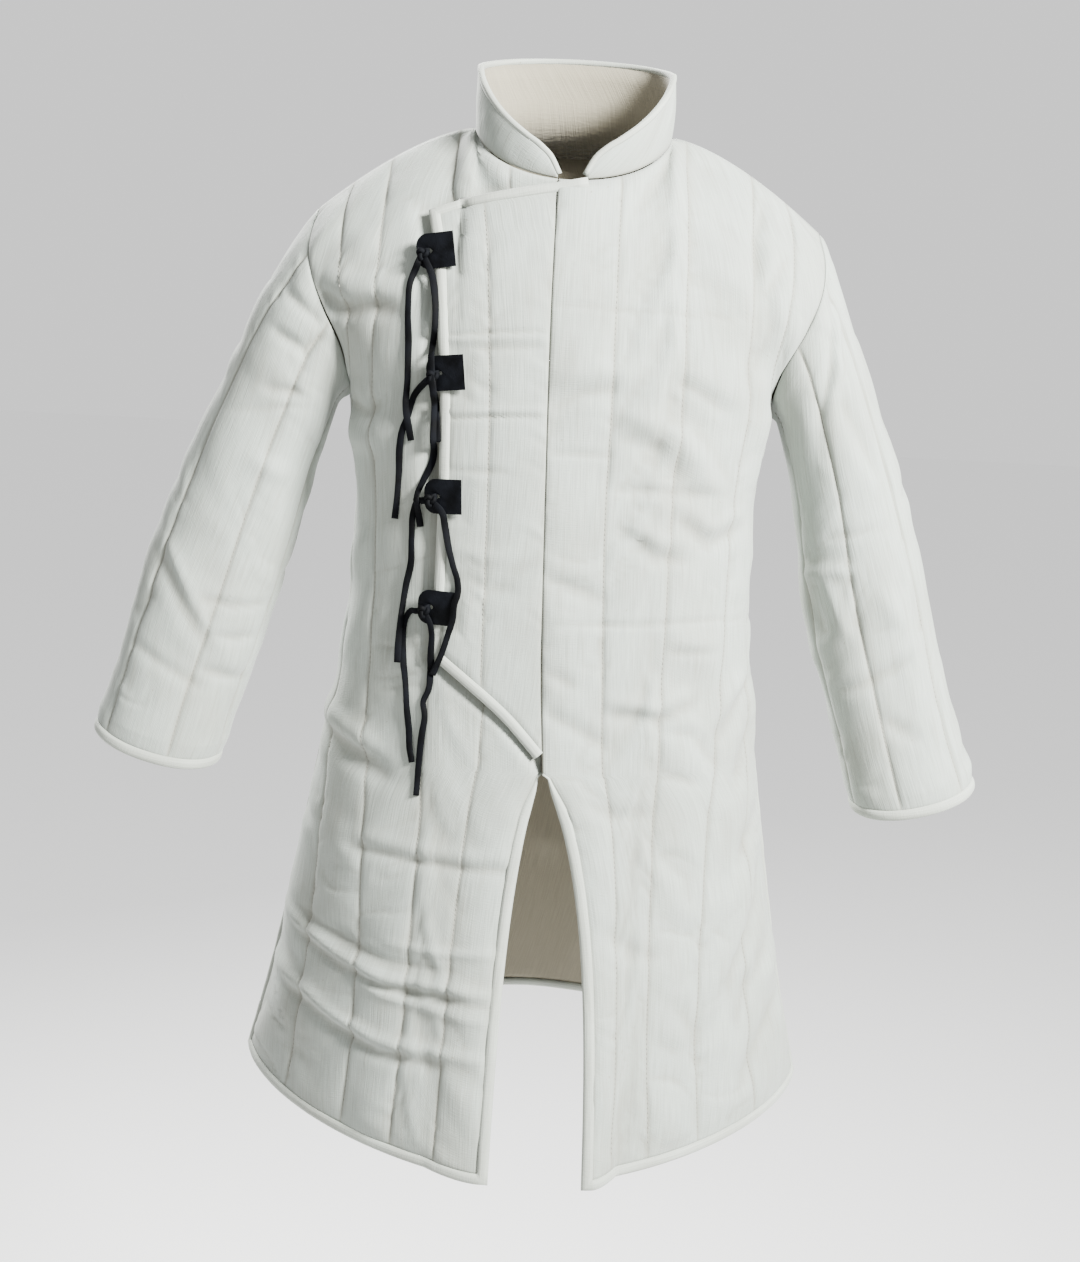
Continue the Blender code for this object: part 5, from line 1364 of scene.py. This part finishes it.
def lace_path(points, middle, tree):
    """The lace's path: from its knot through its points, laid just clear of what hangs behind it."""
    points = np.array([(middle[0], middle[2])] + points)
    run = np.concatenate([[0], np.cumsum(np.linalg.norm(np.diff(points, axis=0), axis=1))])
    at = np.linspace(LACE_START, run[-1], int(run[-1] / LACE_STEP) + 2)
    xs, zs = smooth(at, run, points[:, 0]), smooth(at, run, points[:, 1])
    reach = STRAP_WIDTH / 2
    depths = []
    for x, z in zip(xs, zs):
        spots = [(0, 0), (reach, 0), (-reach, 0), (0, reach), (0, -reach)]
        depths.append(min(surface(tree, x + dx, z + dz).y for dx, dz in spots))
    depths = np.array(depths) - STRAP_THICK / 2 - LACE_CLEAR
    for _ in range(LACE_EASING):
        eased_depths = depths.copy()
        eased_depths[1:-1] = (depths[:-2] + depths[1:-1] * 2 + depths[2:]) / 4
        depths = np.minimum(depths, eased_depths)
    return np.stack([xs, depths, zs], 1)


def make_laces():
    """Every tab, knot and hanging lace end."""
    looks = ["front_right_cloth", "overlap_cloth", "overlap_edge", "front_right_edge"]
    for number in (1, 2, 3, 4):
        looks.append(make_tab(number).name)
    middles = {}
    for number in (1, 2, 3, 4):
        middles[number] = knot_middle(number, tree_of(looks))
        make_knot(number, middles[number])
        make_loop(number, middles[number])
    for name, points in LACES.items():
        path = lace_path(points, middles[int(name.split("_")[1])], tree_of(looks))
        ahead = np.gradient(path, axis=0)
        twist = 0.35 * np.sin(np.arange(len(path)) * 0.11 + len(points))
        ups = np.stack([twist, -np.ones(len(path)), 0.3 * twist], 1)
        ups -= ahead * (ups * ahead).sum(1, keepdims=True) / (ahead * ahead).sum(1, keepdims=True)
        widths = STRAP_WIDTH * (1 + 0.08 * np.sin(np.arange(len(path)) * 0.17 + len(points)))
        piece = strap(name + "_strap", path, ups, widths, STRAP_THICK)
        looks.append(piece.name)
        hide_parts(name)


# Camera, light and floor.

def camera_turn():
    """The camera's rotation: tipped down, then rolled."""
    tip = math.radians(CAMERA_PITCH)
    look = Vector((0, math.cos(tip), -math.sin(tip))).to_track_quat("-Z", "Y")
    return look @ Quaternion((0, 0, 1), math.radians(CAMERA_ROLL))


def make_camera():
    """The camera, where the photograph's stood."""
    camera = bpy.data.objects.new("camera", bpy.data.cameras.new("camera"))
    camera.data.lens = CAMERA_LENS
    camera.data.sensor_width = CAMERA_SENSOR
    camera.location = CAMERA_PLACE
    camera.rotation_mode = "QUATERNION"
    camera.rotation_quaternion = camera_turn()
    bpy.context.scene.collection.objects.link(camera)
    bpy.context.scene.camera = camera


def area_light(name, place, aim, size, power):
    """A soft square light, faintly warm, aimed at a point."""
    lamp = bpy.data.lights.new(name, "AREA")
    lamp.size = size
    lamp.energy = power
    lamp.color = (1, 1, 0.98)
    obj = bpy.data.objects.new(name, lamp)
    obj.location = place
    obj.rotation_mode = "QUATERNION"
    obj.rotation_quaternion = (Vector(aim) - Vector(place)).to_track_quat("-Z", "Y")
    bpy.context.scene.collection.objects.link(obj)


def make_studio():
    """A plain pale floor and soft light."""
    mesh = bpy.data.meshes.new("floor")
    half = 30
    corners = [(-half, -half, FLOOR_Z), (half, -half, FLOOR_Z), (half, half, FLOOR_Z), (-half, half, FLOOR_Z)]
    mesh.from_pydata(corners, [], [(0, 1, 2, 3)])
    material, _, main = shader("floor_white")
    main.inputs["Base Color"].default_value = (0.96, 0.96, 0.96, 1)
    main.inputs["Roughness"].default_value = 0.9
    mesh.materials.append(material)
    floor = bpy.data.objects.new("floor", mesh)
    bpy.context.scene.collection.objects.link(floor)
    world = bpy.data.worlds.new("studio")
    world.use_nodes = True
    background = world.node_tree.nodes["Background"]
    background.inputs["Color"].default_value = (1, 1, 1, 1)
    background.inputs["Strength"].default_value = WORLD_LIGHT
    bpy.context.scene.world = world
    area_light("key", (1.6, -1.5, 0.98), (0, 0, -0.45), 0.7, 610)
    area_light("back", (-1.4, 2.4, 1.3), (0, 0, -0.5), 1.0, 560)


make_camera()
panels = make_torso()
for seed, (name, (grid, normals)) in enumerate(panels.items(), 1):
    make_panel(name, grid, normals, seed * 10)
make_overlap()
make_laces()
make_collar()
for side in (-1, 1):
    make_sleeve(side, panels)
make_studio()
